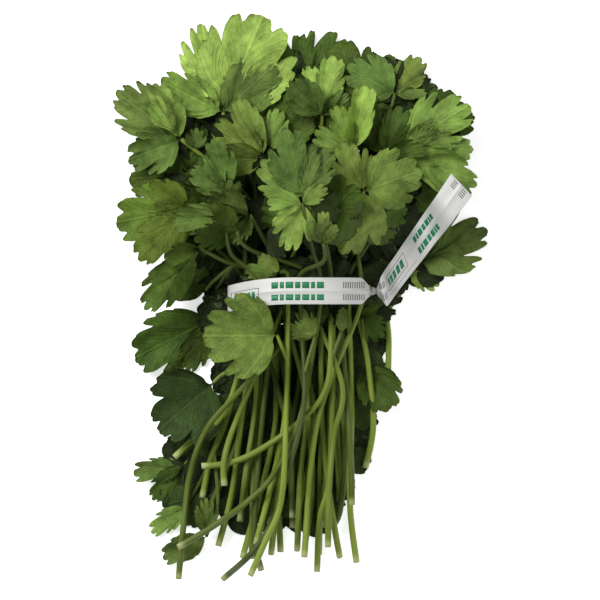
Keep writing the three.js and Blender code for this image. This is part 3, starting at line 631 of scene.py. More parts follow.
# Fine leaflets are rounder than the plain ones, with open gaps between three round lobes, and small teeth.
FINE = {"rows": 11, "columns": 97}
COARSE = {"rows": 6, "columns": 47}
FINE_OPENER = math.radians(24)
STALKED_OPENER = math.radians(14)
STALKED = 0.2
FINE_WIDEST = math.radians(84)
SIDE_REACH = 0.88
FINE_THICK = 0.34
LEAST_HEIGHT = 0.2
TOOTH_WIDTH = 2.7
TOOTH_DEPTH = 1.1
LOBE_GAP = 0.36
LOBE_CUT = 1.25
FULL_CUT = math.radians(27)
SMALL_GAPS = (0.12, 0.56, 0.8)
SMALL_GAP_CUT = 0.42
SMALL_GAP_HALF = 0.03
OUTER_LOBE = LOBES[2]
SIDE_CUT = 0.42
CORNER = 6
PLEAT = 0.04
CURL = 0.03
ROLL = 0.035
MIDRIB = 0.035
CREASE = 0.009


def fine_spread(leaf):
    opener = STALKED_OPENER if leaf["neck"] >= STALKED else FINE_OPENER
    return min(FINE_WIDEST, leaf["spread"] * 1.1 + opener)


def fine_edges(leaf, across):
    """The far edge without teeth and with them, as shares of the leaflet's length."""
    uneven = across + 0.04 * np.sin(across * 6 + leaf["angle"] * 3) * (1 - across**2)
    size = np.abs(uneven)
    far = 1.02 - 0.07 * size**1.6
    side = SIDE_REACH * math.sin(leaf["spread"]) / np.maximum(0.05, np.sin(size * fine_spread(leaf)))
    plain = (far**-CORNER + side**-CORNER) ** (-1 / CORNER) * (1 - SIDE_CUT * size**9)
    plain = plain * (1 + 0.08 * math.sin(leaf["angle"] * 4) * uneven)
    outside = (size - OUTER_LOBE) / (OUTER_LOBE - LOBE_GAP)
    lobe = np.abs(np.where(size < LOBE_GAP, size / LOBE_GAP, outside))
    gap = 0.06 * lobe**2 + LOBE_CUT * leaf["sinus"] * np.where(size > OUTER_LOBE, 0, lobe**7)
    for middle in SMALL_GAPS:
        gap = gap + SMALL_GAP_CUT * leaf["sinus"] * np.exp(-(((size - middle) / SMALL_GAP_HALF) ** 2))
    gap = gap * min(1, leaf["spread"] / FULL_CUT)
    arc = 2 * fine_spread(leaf) * leaf["length"] * 0.7
    width = TOOTH_WIDTH * (1 + 0.2 * math.sin(leaf["length"] * 5))
    count = 2 * max(1, round(arc / width / 2)) + 1
    notch = 1 - np.abs(np.cos(math.pi * count * uneven / 2)) ** 0.6
    depth = min(0.1, TOOTH_DEPTH / leaf["length"]) * (1 + 0.35 * np.sin(uneven * 17 + leaf["angle"] * 9))
    return plain, plain * (1 - gap) * (1 - depth * notch)


def leaf_sheet(leaf, rows, columns):
    """Points of a leaflet's middle surface, and their (across, out) coordinates."""
    stops = 1 - (1 - np.linspace(0, 1, rows)) ** 1.35
    across, out = np.meshgrid(np.linspace(-1, 1, columns), stops)
    plain, toothed = fine_edges(leaf, across)
    reach = plain + (toothed - plain) * out**3
    x, y = leaf_spot(leaf, out, across, reach, fine_spread(leaf))
    pleat = np.cos(across * 2.9 * math.pi + leaf["angle"]) * out**1.5
    curl = np.sin(across * 9 + leaf["length"]) * out**4
    roll = np.sin(out * 5 + leaf["angle"] * 7) * np.sin(across * 2.4 + leaf["length"] * 3) * out
    rib = np.exp(-((across / 0.05) ** 2)) * out * (1 - out)
    crease = np.cos(across * 8 * math.pi + 1.5 * np.sin(out * 6 + leaf["angle"])) * out
    shape = PLEAT * pleat + CURL * curl + ROLL * roll - MIDRIB * rib + CREASE * crease
    z = leaf["base"] + leaf["length"] * (leaf["lift"] * out + shape) + leaf_bend(leaf, out, across)
    z = np.maximum(z, leaf.get("floor", LEAST_HEIGHT))
    if not leaf.get("over_tie"):
        z = np.minimum(z, limit_at(x, y))
    return np.stack([x, y, z], axis=-1).reshape(-1, 3), across.ravel(), out.ravel()


# Map of how high the fine leaflets stand so far, for those laid over them.
REST_STEP = 0.5
REST_GAP = 0.5
REST_FULL = 2.5
REST_NONE = 5.5
resting = np.full((int(MAP_SIZE[0] / REST_STEP), int(MAP_SIZE[1] / REST_STEP)), -1.0)


def finer(grid, times):
    """The grid with even steps between its rows."""
    share = np.linspace(0, len(grid) - 1, (len(grid) - 1) * times + 1)
    low = np.minimum(share.astype(int), len(grid) - 2)
    part = (share - low)[:, None, None]
    return grid[low] * (1 - part) + grid[low + 1] * part


def rest_sheet(leaf):
    """Lifts a fine leaflet off those below it where it would cut a little into them, and keeps its points."""
    sheet, _, _ = leaf_sheet(leaf, **FINE)
    x, y, z = sheet.T
    short = resting[cells(x, y, REST_STEP)] + REST_GAP - z
    short = short * (1 - smooth((short - REST_FULL) / (REST_NONE - REST_FULL)))
    sheet[:, 2] = z + np.maximum(0, short)
    leaf["sheet"] = sheet
    dense = finer(sheet.reshape(FINE["rows"], FINE["columns"], 3), 4)
    dense = finer(dense.transpose(1, 0, 2), 2).reshape(-1, 3)
    np.maximum.at(resting, cells(dense[:, 0], dense[:, 1], REST_STEP), dense[:, 2])


def rest_all(laid):
    leaves = [leaf for _, branches in laid for branch in branches for leaf in branch["leaves"]]
    for leaf in sorted(leaves, key=lambda one: one.get("over_tie", False)):
        rest_sheet(leaf)


def add_leaflet(parts, leaf, tint, rows, columns):
    """Adds a closed blade: its upper face, its lower face and its edge."""
    sheet, across, out = leaf_sheet(leaf, rows, columns)
    sheet = leaf.get("sheet", sheet)
    start = sum(len(block) for block in parts["points"])
    size = rows * columns
    taper = (0.25 + 0.75 * (1 - out)) * FINE_THICK / 2
    for side in (1, -1):
        offset = np.zeros_like(sheet)
        offset[:, 2] = side * taper
        parts["points"].append(sheet + offset)
        parts["vein"].append(np.column_stack([across, out, np.full(size, float(side))]))
        parts["tint"].append(np.tile(tint, (size, 1)))
    parts["faces"] += grid_faces(rows, columns, start, False)
    parts["faces"] += grid_faces(rows, columns, start + size, True)
    order = np.arange(size).reshape(rows, columns)
    edge = [*order[:, 0], *order[-1, 1:], *order[-2::-1, -1]]
    for a, b in zip(edge, edge[1:]):
        parts["faces"].append((start + b, start + a, start + size + a, start + size + b))


# Colours of leaflets, from the youngest at the top of the bunch to the darkest. The last two tones are
# painted shade: dark colours that stand for the shade between and under the leaflets.
TONES = {
    "young": (0.310, 0.440, 0.085),
    "fresh": (0.176, 0.262, 0.050),
    "light": (0.143, 0.216, 0.042),
    "mid": (0.113, 0.177, 0.037),
    "soft": (0.085, 0.138, 0.029),
    "moss": (0.088, 0.138, 0.016),
    "dark": (0.060, 0.104, 0.015),
    "shade": (0.036, 0.064, 0.014),
    "deep": (0.020, 0.031, 0.010),
}
NODE_TONES = {
    "stem_waist_tuft": "light", "stem_centre_low": "fresh", "stem_lower_centre": "fresh",
    "stem_centre_right": "fresh", "stem_upper_young": "fresh", "stem_right_high": "fresh",
    "stem_left_middle": "moss", "stem_top_right": "mid", "stem_left_top": "mid", "stem_centre_top": "fresh",
}


def leaf_tint(row, leaf):
    """A leaflet's colour: its own tone or else its stem's, a little shifted by its own shape."""
    tone = leaf["tone"] or NODE_TONES.get(row["name"], row["tone"])
    shift = 1 + 0.16 * math.sin(leaf["angle"] * 5 + leaf["length"])
    warm = 1 + 0.07 * math.sin(leaf["length"] * 3)
    red, green, blue = TONES[tone]
    return np.array([red * shift * warm, green * shift, blue * shift])


def leaves_object(row, branches, material):
    parts = {"points": [], "faces": [], "vein": [], "tint": []}
    for branch in branches:
        for leaf in branch["leaves"]:
            grid = FINE if "sheet" in leaf else COARSE
            add_leaflet(parts, leaf, leaf_tint(row, leaf), **grid)
    attributes = [("vein", np.vstack(parts["vein"])), ("tint", np.vstack(parts["tint"]))]
    return new_mesh(f"{row['name']}_leaves", np.vstack(parts["points"]), parts["faces"], material, attributes)


# Leaflets that fill the shade between the laid ones, coloured in painted shade. They are tried against a grid
# of what is there already.
GRID_STEP = 0.5
GRID_LOW = -2
GRID_LAYERS = 140
FILL_TRIES = 1500
FILL_NEAREST = 5
FILL_NEAR = 24
FILL_SHORTEST = 11
FILL_LONGEST = 24
FILL_SPOT = 0.62
FILL_FORM = {
    "spread": math.radians(44), "neck": 0.12, "sinus": 0.24, "droop": 0.08, "fold": 0.05, "twist": 0.03,
}
# Shares of the fill leaflets, above the tie and below it, that take the darkest painted-shade tone; the rest
# take the other painted-shade tone.
FILL_DEEP_SHADE = 0.85
UNDER_DEEP_SHADE = 0.5
FILL_HOSTS = 9
FILL_LIFTS = (-0.7, -0.4, -0.15, 0.1, 0.35)
UNDER_LIFTS = (-0.9, -0.6, -0.35)
UNDER_LAYERS = 6
LAYER_STEP = 0.32
SKIMMING = 1.4
FILL_CROSSING = 0.1
UNDER_CROSSING = 0.2
BARE_CROSSING = 0.24
FILL_HIDING = 0.12
FILL_OUTSIDE = 0.05
FILL_LOWEST = 0.25
FILL_FOOT = 0.22
HOST_PART = slice(4, -2)
BRANCH_STOPS = (-0.7, 0, 0.7)
UNDER_OUTSIDE = 0.015
UNDER_HOST = 6
UNDER_END = -107
GAP_WIDTH = 8
taken = np.zeros((*MAP_SIZE, GRID_LAYERS), bool)
leafy = np.zeros(MAP_SIZE, bool)
stemmy = np.zeros(MAP_SIZE, bool)


def grid_cells(x, y, z):
    i, j = cells(x, y)
    return i, j, np.clip(((np.asarray(z) - GRID_LOW) / GRID_STEP).astype(int), 0, GRID_LAYERS - 1)


def take_leaf(leaf):
    sheet, _, _ = leaf_sheet(leaf, 16, 33)
    x, y, z = sheet.T
    for shift in (-0.25, 0.25):
        taken[grid_cells(x, y, z + shift)] = True
    leafy[cells(x, y)] = True


def take_branch(branch):
    x, y = branch["line"].T
    radius = branch["radius"]
    stemmy[cells(x, y)] = True
    for across, along, up in itertools.product(BRANCH_STOPS, BRANCH_STOPS, (-1, -0.5, 0, 0.5, 1)):
        taken[grid_cells(x + across * radius, y + along * radius, branch["z"] + up * radius)] = True
    for leaf in branch["leaves"]:
        take_leaf(leaf)


def grown(mask, radius):
    """The mask with every cell within the radius added."""
    round_steps = [step for step in steps(radius) if math.hypot(*step) <= radius]
    return np.any([np.roll(mask, step, axis=(0, 1)) for step in round_steps], axis=0)


def bunch_outline():
    """Cells within the bunch's outline as seen from above, with its narrow gaps closed."""
    return ~grown(~grown(heights > 0, GAP_WIDTH), GAP_WIDTH)


def host_points(laid):
    """Points of the main stems that a leaflet could grow from, each with its stem's number."""
    rows = []
    for n, (_, branches) in enumerate(laid):
        main = branches[0]
        rows += [(x, y, z, n) for (x, y), z in zip(main["line"][HOST_PART], main["z"][HOST_PART])]
    return np.array(rows)


# Small leaflets in pairs on the petioles of the laid leaves, where they lie open to view.
PAIR_STEPS = (4, 8, 12)
PAIR_SHARE = 0.75
PAIR_STEEPEST = 0.7
PAIR_HIGHEST = 59
PAIR_LOWEST_LIFT = -0.5
PAIR_FOOT = 0.35
PAIR_FORM = {
    "neck": (0.1, 0.25), "sinus": (0.2, 0.34), "droop": (0.0, 0.12),
    "fold": (-0.05, 0.1), "twist": (-0.1, 0.1),
}


def pair_leaf(branch, k, side):
    ahead = branch["line"][k + 1] - branch["line"][k - 1]
    return {
        "node": tuple(branch["line"][k]),
        "base": float(branch["z"][k]),
        "length": draw(9, 15),
        "angle": math.atan2(ahead[1], ahead[0]) + side * draw(0.75, 1.15),
        "spread": math.radians(draw(30, 42)),
        "lift": 0,
        **drawn_form(PAIR_FORM),
        "tone": None,
    }


def add_pairs(laid):
    """Each small leaflet is turned up until it clears what it lies on, or left out if that is too steep."""
    for row, branches in laid:
        if row["inside"]:
            continue
        branch = branches[0]
        for step in PAIR_STEPS:
            k = len(branch["line"]) - 1 - step
            for side in (-1, 1):
                leaf = pair_leaf(branch, k, side)
                if draw(0, 1) > PAIR_SHARE or branch["line"][k][1] < TIE_WIDTH:
                    continue
                sheet, _, out = leaf_sheet(leaf, 10, 15)
                far = out > PAIR_FOOT
                x, y, z = sheet[far].T
                room = (highest(x, y, 0) + CLEARANCE - z) / (leaf["length"] * out[far])
                leaf["lift"] = max(PAIR_LOWEST_LIFT, float(room.max()))
                if leaf["lift"] > PAIR_STEEPEST:
                    continue
                sheet, _, _ = leaf_sheet(leaf, 16, 25)
                if sheet[:, 2].max() > PAIR_HIGHEST or tie_cells[cells(sheet[:, 0], sheet[:, 1])].any():
                    continue
                branch["leaves"].append(leaf)
                rest_sheet(leaf)
                cover(sheet[:, 0], sheet[:, 1], 0, sheet[:, 2] + FINE_THICK)


def fill_leaf(host, spot, lift, floor):
    across, ahead = spot[0] - host[0], spot[1] - host[1]
    return {
        **FILL_FORM,
        "node": (host[0], host[1]),
        "base": host[2],
        "length": min(FILL_LONGEST, max(FILL_SHORTEST, math.hypot(across, ahead) / FILL_SPOT)),
        "angle": math.atan2(ahead, across),
        "lift": lift,
        "floor": floor,
    }


def crossing(leaf, outline, under):
    """The share of a leaflet that would cross what is there. It is 1 where the leaflet doesn't belong."""
    sheet, _, out = leaf_sheet(leaf, 8, 13)
    x, y, z = sheet[out > FILL_FOOT].T
    if not under and z.min() < FILL_LOWEST:
        return 1
    spots = cells(x, y)
    shown = heights[spots] > 0 if under else leafy[spots]
    hiding = shown & (z > heights[spots])
    outside = (~outline[spots]).mean()
    if hiding.mean() > FILL_HIDING or outside > (UNDER_OUTSIDE if under else FILL_OUTSIDE):
        return 1
    crossed = taken[grid_cells(x, y, z)]
    return (crossed & (z > SKIMMING)).mean() if under else crossed.mean()


def take_tie(arch):
    x, y = band_grid(0)
    taken[grid_cells(x, y + ring_y(x), TIE_FLOOR_BULGE + arch * ring_share(x))] = True
    taken[grid_cells(x, y + ring_y(x), TIE_FLOOR_BULGE * (1 - ring_share(x)))] = True


def best_fill(hosts, spot, outline, under, layer):
    """The leaflet that reaches a spot and crosses least, how much it crosses, and its stem's number."""
    best, least, owner = None, 1, None
    floor = LEAST_HEIGHT + (LAYER_STEP * (layer % UNDER_LAYERS) if under else 0)
    for _ in range(FILL_HOSTS if len(hosts) else 0):
        host = hosts[int(draw(0, len(hosts)))]
        for lift in UNDER_LIFTS if under else FILL_LIFTS:
            leaf = fill_leaf(host, spot, lift, floor)
            share = crossing(leaf, outline, under)
            if share < least:
                best, least, owner = leaf, share, int(host[3])
    return best, least, owner


def fill_gaps(laid, arch):
    """Adds leaflets at spots in the gaps, while there are gaps and tries left."""
    take_tie(arch)
    for _, branches in laid:
        for branch in branches:
            take_branch(branch)
    hosts = host_points(laid)
    outline = bunch_outline()
    y = MAP_LOW[1] + np.arange(MAP_SIZE[1])[None, :]
    gaps = outline & ~leafy & (y > UNDER_END)
    layer = 0
    for _ in range(FILL_TRIES):
        bare = gaps & ~stemmy
        spots = np.argwhere(bare if bare.any() else gaps)
        if len(spots) == 0:
            break
        cell = spots[int(draw(0, len(spots)))]
        spot = cell + MAP_LOW + 0.5
        under = spot[1] < -TIE_WIDTH
        away = np.hypot(hosts[:, 0] - spot[0], hosts[:, 1] - spot[1])
        near = (away > FILL_NEAREST) & (away < FILL_NEAR) & ((hosts[:, 2] < UNDER_HOST) | (not under))
        best, least, owner = best_fill(hosts[near], spot, outline, under, layer)
        most = BARE_CROSSING if bare.any() else UNDER_CROSSING if under else FILL_CROSSING
        if not best or least > most:
            gaps[tuple(cell)] = False
            continue
        layer += 1
        # Each fill leaflet takes one of the two painted-shade tones, which stand for the shade between the
        # laid leaflets.
        best["tone"] = "deep" if draw(0, 1) < (UNDER_DEEP_SHADE if under else FILL_DEEP_SHADE) else "shade"
        laid[owner][1][0]["leaves"].append(best)
        take_leaf(best)
        gaps &= ~leafy


STEM_SIDES = 14
STEM_TURN = 2 * math.pi * np.arange(STEM_SIDES) / STEM_SIDES
SIDE_ALONG = 400
CUT_SHARE = 0.97
RIBS = 5
RIB_DEPTH = 0.07
# Painted shade on the stems near the tie: its middle and its width, in millimetres.
WAIST_SHADE = (22, 26)


def tube(path, radius):
    """Points of the rings of a ribbed tube along a path."""
    ahead = np.gradient(path, axis=0)
    ahead /= np.linalg.norm(ahead, axis=1)[:, None]
    side = np.cross(ahead, (0, 0, 1))
    side /= np.linalg.norm(side, axis=1)[:, None]
    above = np.cross(side, ahead)
    swell = 1 + RIB_DEPTH * np.cos(RIBS * STEM_TURN)
    u = (np.cos(STEM_TURN) * swell)[None, :, None] * radius[:, None, None]
    v = (np.sin(STEM_TURN) * swell)[None, :, None] * radius[:, None, None]
    return (path[:, None, :] + side[:, None, :] * u + above[:, None, :] * v).reshape(-1, 3)


def stem_object(row, branches, material):
    """The stem and its side branches, which start far along the colours that run up from a cut end."""
    points, faces, along, around, hue_and_shade = [], [], [], [], []
    for k, branch in enumerate(branches):
        path = np.column_stack([branch["line"], branch["z"]])
        count = len(path)
        faces += ring_faces(count, STEM_SIDES, sum(len(block) for block in points))
        radius = branch["radius"].copy()
        radius[0] *= 1 if k else CUT_SHARE
        points.append(tube(path, radius))
        along.append(np.repeat(np.arange(count) * STEM_STEP + (SIDE_ALONG if k else 0), STEM_SIDES))
        around.append(np.tile(STEM_TURN, count))
        # Painted shade: near the tie the stems are darkened towards the dark green, where the leaves above
        # would shade them.
        painted_waist_shade = np.exp(-(((path[:, 1] - WAIST_SHADE[0]) / WAIST_SHADE[1]) ** 2))
        own = 0.55 + 0.45 * math.sin(branch["line"][0][0] * 1.7 + k)
        hue_and_shade.append(np.repeat(own * (1 - 0.9 * painted_waist_shade), STEM_SIDES))
    named = (("along", along), ("around", around), ("hue_and_shade", hue_and_shade))
    attributes = [(title, np.concatenate(values)) for title, values in named]
    return new_mesh(f"{row['name']}_stem", np.vstack(points), faces, material, attributes)


# Materials


class Value:
    """A value that varies over a surface. Sums and products of values are worked out by shader nodes."""

    def __init__(self, tree, socket):
        self.tree = tree
        self.socket = socket

    def math(self, operation, *given):
        node = self.tree.nodes.new("ShaderNodeMath")
        node.operation = operation
        for target, value in zip(node.inputs, given):
            give(self.tree, value, target)
        return Value(self.tree, node.outputs[0])

    def __add__(self, other):
        return self.math("ADD", self, other)

    def __sub__(self, other):
        return self.math("SUBTRACT", self, other)

    def __rsub__(self, other):
        return self.math("SUBTRACT", other, self)

    def __mul__(self, other):
        return self.math("MULTIPLY", self, other)

    def away_from(self, middle):
        return self.math("ABSOLUTE", self - middle)

    def ramp(self, low, high):
        """0 below low, 1 above high, and smooth between."""
        node = self.tree.nodes.new("ShaderNodeMapRange")
        node.interpolation_type = "SMOOTHSTEP"
        for title, value in (("From Min", low), ("From Max", high), ("Value", self)):
            give(self.tree, value, node.inputs[title])
        return Value(self.tree, node.outputs["Result"])


def give(tree, value, target):
    """Links a value to a shader socket, or sets the socket where the value is a plain one."""
    if isinstance(value, Value):
        tree.links.new(value.socket, target)
    else:
        target.default_value = (*value, 1) if isinstance(value, tuple) else value


class Nodes:
    """Short ways to add shader nodes to a new material."""

    def __init__(self, name, roughness, gloss=0.5):
        self.material = bpy.data.materials.new(name)
        self.material.use_nodes = True
        self.tree = self.material.node_tree
        self.shader = self.tree.nodes["Principled BSDF"]
        self.set(self.shader, {"Roughness": roughness, "Specular IOR Level": gloss})

    def set(self, node, given):
        for title, value in given.items():
            give(self.tree, value, node.inputs[title])

    def add(self, kind, output, given, **settings):
        node = self.tree.nodes.new(kind)
        for key, value in settings.items():
            setattr(node, key, value)
        self.set(node, given)
        return Value(self.tree, node.outputs[output])

    def own(self, name, output="Fac"):
        return self.add("ShaderNodeAttribute", output, {}, attribute_name=name)

    def mix(self, share, a, b):
        return self.add("ShaderNodeMix", 2, {0: share, 6: a, 7: b}, data_type="RGBA")

    def noise(self, scale, detail=3.0):
        where = self.add("ShaderNodeTexCoord", "Object", {})
        return self.add("ShaderNodeTexNoise", "Fac", {"Scale": scale, "Detail": detail, "Vector": where})


VEIN_LIGHTER = 0.32
WHITE = (1.0, 1.0, 1.0)
UNDERSIDE_GREY = (0.200, 0.250, 0.110)


def vein_lines(across, out):
    """The veins, one to each lobe with branches to the teeth, and how far the blade bulges between them."""
    lines, bulges = 0.0, 1.0
    for middle in LOBES:
        away = across.away_from(middle)
        main = 1.0 - (away * (out + 0.15)).ramp(0.004, 0.026)
        near = across.math("FRACT", out * 6.5 - away * 13.0).away_from(0.5)
        inside = 1.0 - away.ramp(0.3, 0.36)
        branch = (1.0 - near.ramp(0.02, 0.16)) * inside * 0.5
        lines = across.math("MAXIMUM", lines, across.math("MAXIMUM", main, branch))
        bulges = across.math("MINIMUM", bulges, 1.0 - (1.0 - near.ramp(0.0, 0.4)) * inside)
    return lines, bulges


def leaf_material():
    nodes = Nodes("coriander_leaf", 0.5, 0.1)
    place_on_leaf = {"Vector": nodes.own("vein", "Vector")}
    across, out, side = (nodes.add("ShaderNodeSeparateXYZ", axis, place_on_leaf) for axis in range(3))
    veins, bulges = vein_lines(across, out)
    mottle, crumple, fine = nodes.noise(90.0), nodes.noise(260.0, 4.0), nodes.noise(700.0, 2.0)
    mottle_and_crumple_shade = mottle.ramp(0.3, 0.7) * 0.5 + 0.75 + veins * VEIN_LIGHTER
    # The crumple noise also lightens and darkens the colour with the bump's crumples: painted light and
    # shade. The mottle, the fine noise and the veins are the leaf's own colour.
    mottle_and_crumple_shade = mottle_and_crumple_shade + (fine - 0.5) * 0.25 + (crumple - 0.5) * 0.95
    tint = nodes.own("tint", "Vector")
    green = nodes.add("ShaderNodeVectorMath", 0, {0: tint, "Scale": mottle_and_crumple_shade}, operation="SCALE")
    colour = nodes.mix(side.math("LESS_THAN", side, 0.0) * 0.4, green, UNDERSIDE_GREY)
    relief = crumple * 2.4 - veins * 0.8 + bulges * 0.12
    bump = nodes.add("ShaderNodeBump", "Normal", {"Strength": 0.7, "Distance": 0.0006, "Height": relief})
    nodes.set(nodes.shader, {"Base Color": colour, "Normal": bump})
    glow = nodes.add("ShaderNodeBsdfTranslucent", 0, {"Color": green})
    blade = Value(nodes.tree, nodes.shader.outputs[0])
    both = nodes.add("ShaderNodeMixShader", 0, {0: 0.15, 1: blade, 2: glow})
    nodes.set(nodes.tree.nodes["Material Output"], {"Surface": both})
    return nodes.material


STEM_GREEN = (0.040, 0.061, 0.008)
STEM_YELLOW = (0.180, 0.248, 0.029)
STEM_STREAK = (0.213, 0.266, 0.048)
CUT_PALE = (0.480, 0.490, 0.230)


def stem_material():
    nodes = Nodes("coriander_stem", 0.5, 0.22)
    along, around, hue_and_shade = nodes.own("along"), nodes.own("around"), nodes.own("hue_and_shade")
    pattern = nodes.add("ShaderNodeCombineXYZ", 0, {0: along * 0.03, 1: around * 1.6, 2: hue_and_shade})
    streak = nodes.add("ShaderNodeTexNoise", "Fac", {"Scale": 2.0, "Vector": pattern})
    # The hue attribute holds each stem's own tone together with the painted shade near the tie.
    body = nodes.mix(hue_and_shade.ramp(0.0, 1.0), STEM_GREEN, STEM_YELLOW)
    body = nodes.mix(streak.ramp(0.52, 0.72) * hue_and_shade, body, STEM_STREAK)
    colour = nodes.mix((1.0 - along.ramp(0.5, 5.0)) * 0.6, body, CUT_PALE)
    nodes.set(nodes.shader, {"Base Color": colour})
    return nodes.material


def plain_material(name, colour, roughness, glow=0.0):
    nodes = Nodes(name, roughness)
    nodes.set(nodes.shader, {"Base Color": colour, "Emission Color": WHITE, "Emission Strength": glow})
    return nodes.material


# The tie


STRIP_STOPS = np.array([-1, -0.96, -0.5, -0.12, -0.05, 0, 0.05, 0.12, 0.5, 0.96, 1])
STRIP_RISE = np.array([-0.1, 0, 0, 0, 0.28, 0.38, 0.28, 0, 0, 0, -0.1])
STRIP_THICK = 0.4
FLAT_TRIM = 0.25
RING_FRAMES = 180
NECK_WIDTH = 5.2
TAIL_FRAMES = 60
TAIL_SINK = 0.1


def ring_frames(x, z, out_x, out_z):
    """Middles, sideways and outward directions where the strip runs round the bunch."""
    flat = np.zeros_like(x)
    sideways = np.tile([0.0, 1.0, 0.0], (len(x), 1))
    return np.column_stack([x, ring_y(x), z]), sideways, np.column_stack([out_x, flat, out_z])


def upper_frames(arch, x):
    """Frames on the upper strand of the ring at each x."""
    z = TIE_FLOOR_BULGE + arch * ring_share(x)
    slope = np.gradient(z, x)
    long = np.sqrt(1 + slope * slope)
    return ring_frames(x, z, -slope / long, 1 / long)


def ring_strip(arch):
    """Frames and widths all the way round the ring."""
    turn = 2 * math.pi * (np.arange(RING_FRAMES) + 0.5) / RING_FRAMES
    c, s = np.cos(turn), np.sin(turn)
    x = TIE_MIDDLE + TIE_HALF * np.sign(c) * np.abs(c) ** (2 / TIE_ROUNDNESS)
    rise = np.abs(s) ** (2 / TIE_ROUNDNESS)
    low = np.maximum(0, TIE_FLOOR_BULGE * (1 - rise) - FLAT_TRIM)
    z = np.where(s > 0, TIE_FLOOR_BULGE + arch * rise, low)
    along = np.column_stack([np.roll(x, -1) - np.roll(x, 1), np.roll(z, -1) - np.roll(z, 1)])
    along /= np.linalg.norm(along, axis=1)[:, None]
    narrow = smooth((x - (TIE_RIGHT - 5)) / 5)
    return ring_frames(x, z, along[:, 1], -along[:, 0]), TIE_WIDTH * (1 - narrow) + NECK_WIDTH * narrow


def tail_strip(tail):
    """Frames and widths along the tail, and how far each frame is from its root."""
    edges, stop_heights = tail
    pairs = np.array(edges)
    stops = np.arange(len(pairs))
    fine = np.linspace(0, len(pairs) - 1, TAIL_FRAMES)
    low, high = (
        np.column_stack([np.interp(fine, stops, pairs[:, side, axis]) for axis in (0, 1)]) for side in (0, 1)
    )
    z = windowed(np.interp(fine, stops, stop_heights), 3, np.mean)
    middles = np.column_stack([(low + high) / 2, z - TAIL_SINK])
    widths = np.linalg.norm(high - low, axis=1)
    sideways = np.column_stack([(high - low) / widths[:, None], np.zeros(TAIL_FRAMES)])
    along = np.concatenate([[0], np.cumsum(np.linalg.norm(np.diff(middles, axis=0), axis=1))])
    ahead = np.gradient(middles, axis=0)
    outward = np.cross(sideways, ahead)
    outward *= np.sign(outward[:, 2:]) / np.linalg.norm(outward, axis=1)[:, None]
    return (middles, sideways, outward), widths, along


def strip_object(name, frames, widths, material, closed):
    """A closed ribbed strip. Its frames are the middles, the sideways and the outward directions."""
    middles, sideways, outward = frames
    flat = np.minimum(1, widths / TIE_WIDTH)[:, None, None]
    top = middles[:, None] + sideways[:, None] * (widths[:, None] / 2 * STRIP_STOPS)[..., None]
    top = top + outward[:, None] * STRIP_RISE[None, :, None] * flat
    bottom = top - outward[:, None] * STRIP_THICK
    rings = np.concatenate([top, bottom[:, ::-1]], axis=1)
    faces = ring_faces(*rings.shape[:2], closed=closed)
    return new_mesh(name, rings.reshape(-1, 3), faces, material)


def build_tie(arch, tail, paper):
    ring = strip_object("tie_ring", *ring_strip(arch), paper, True)
    frames, widths, _ = tail_strip(tail)
    return [ring, strip_object("tie_tail", frames, widths, paper, False), twist_object(paper)]


# Printing on the tie: plain bars with no lettering. A bar is (start, end, low, high) in millimetres along and
# across the strip.
MARK_TOP = 0.05
MARK_DEPTH = 0.15
ROWS = ((1.3, 4.3), (-4.4, -1.6))
DASHES = ((0, 2.6), (3.3, 4.9), (5.6, 8.6), (9.3, 11.4), (12.1, 14.9), (15.6, 17.2), (17.9, 20.7))


def dashes(start, size):
    bars = []
    for low, high in ROWS:
        bars += [(start + a * size, start + b * size, low, high) for a, b in DASHES]
    return bars


def framed(start, end, middle):
    """An outlined box."""
    edge, half = 0.3, 3.1
    low, high = middle - half, middle + half
    box = [(start, end, high, high + edge), (start, end, low - edge, low)]
    return [*box, (start, start + edge, low, high), (end - edge, end, low, high)]


def boxed(start, end, middle):
    """Broad bars for the inside of an outlined box."""
    pitch = (end - start - 3) / 5
    firsts = [start + 1.8 + k * pitch for k in range(5)]
    return [(first, first + 0.7 * pitch, middle - 1.9, middle + 1.9) for first in firsts]


def small_print(start, end, across):
    """A row of thin short bars."""
    return [(at, at + 1.1, across, across + 0.25) for at in np.arange(start, end, 1.5)]


def stripes(start, end, pitch):
    return [(at, at + pitch * 0.45, low, high) for at in np.arange(start, end, pitch) for low, high in ROWS]


def bar_rings(middles, sideways, outward, low, high):
    """Sections of a bar that follow the strip's own section, rib and all."""
    stops = STRIP_STOPS * TIE_WIDTH / 2
    across = [low, *stops[(stops > low) & (stops < high)], high]
    rise = np.interp(across, stops, STRIP_RISE)
    corners = [(v, up + MARK_TOP) for v, up in zip(across, rise)]
    corners += [(v, up - MARK_DEPTH) for v, up in zip(across[::-1], rise[::-1])]
    return np.stack([middles + sideways * v + outward * up for v, up in corners], axis=1)


def print_object(name, frames, along, bars, material):
    """Bars lying on a strip, each a thin closed solid that follows its curve."""
    points, faces = [], []
    for start, end, low, high in bars:
        at = np.linspace(start, end, max(2, math.ceil((end - start) / 0.6)))
        placed = (
            np.column_stack([np.interp(at, along, part[:, axis]) for axis in range(3)]) for part in frames
        )
        rings = bar_rings(*placed, low, high)
        faces += ring_faces(*rings.shape[:2], sum(len(block) for block in points))
        points.append(rings.reshape(-1, 3))
    return new_mesh(name, np.vstack(points), faces, material)


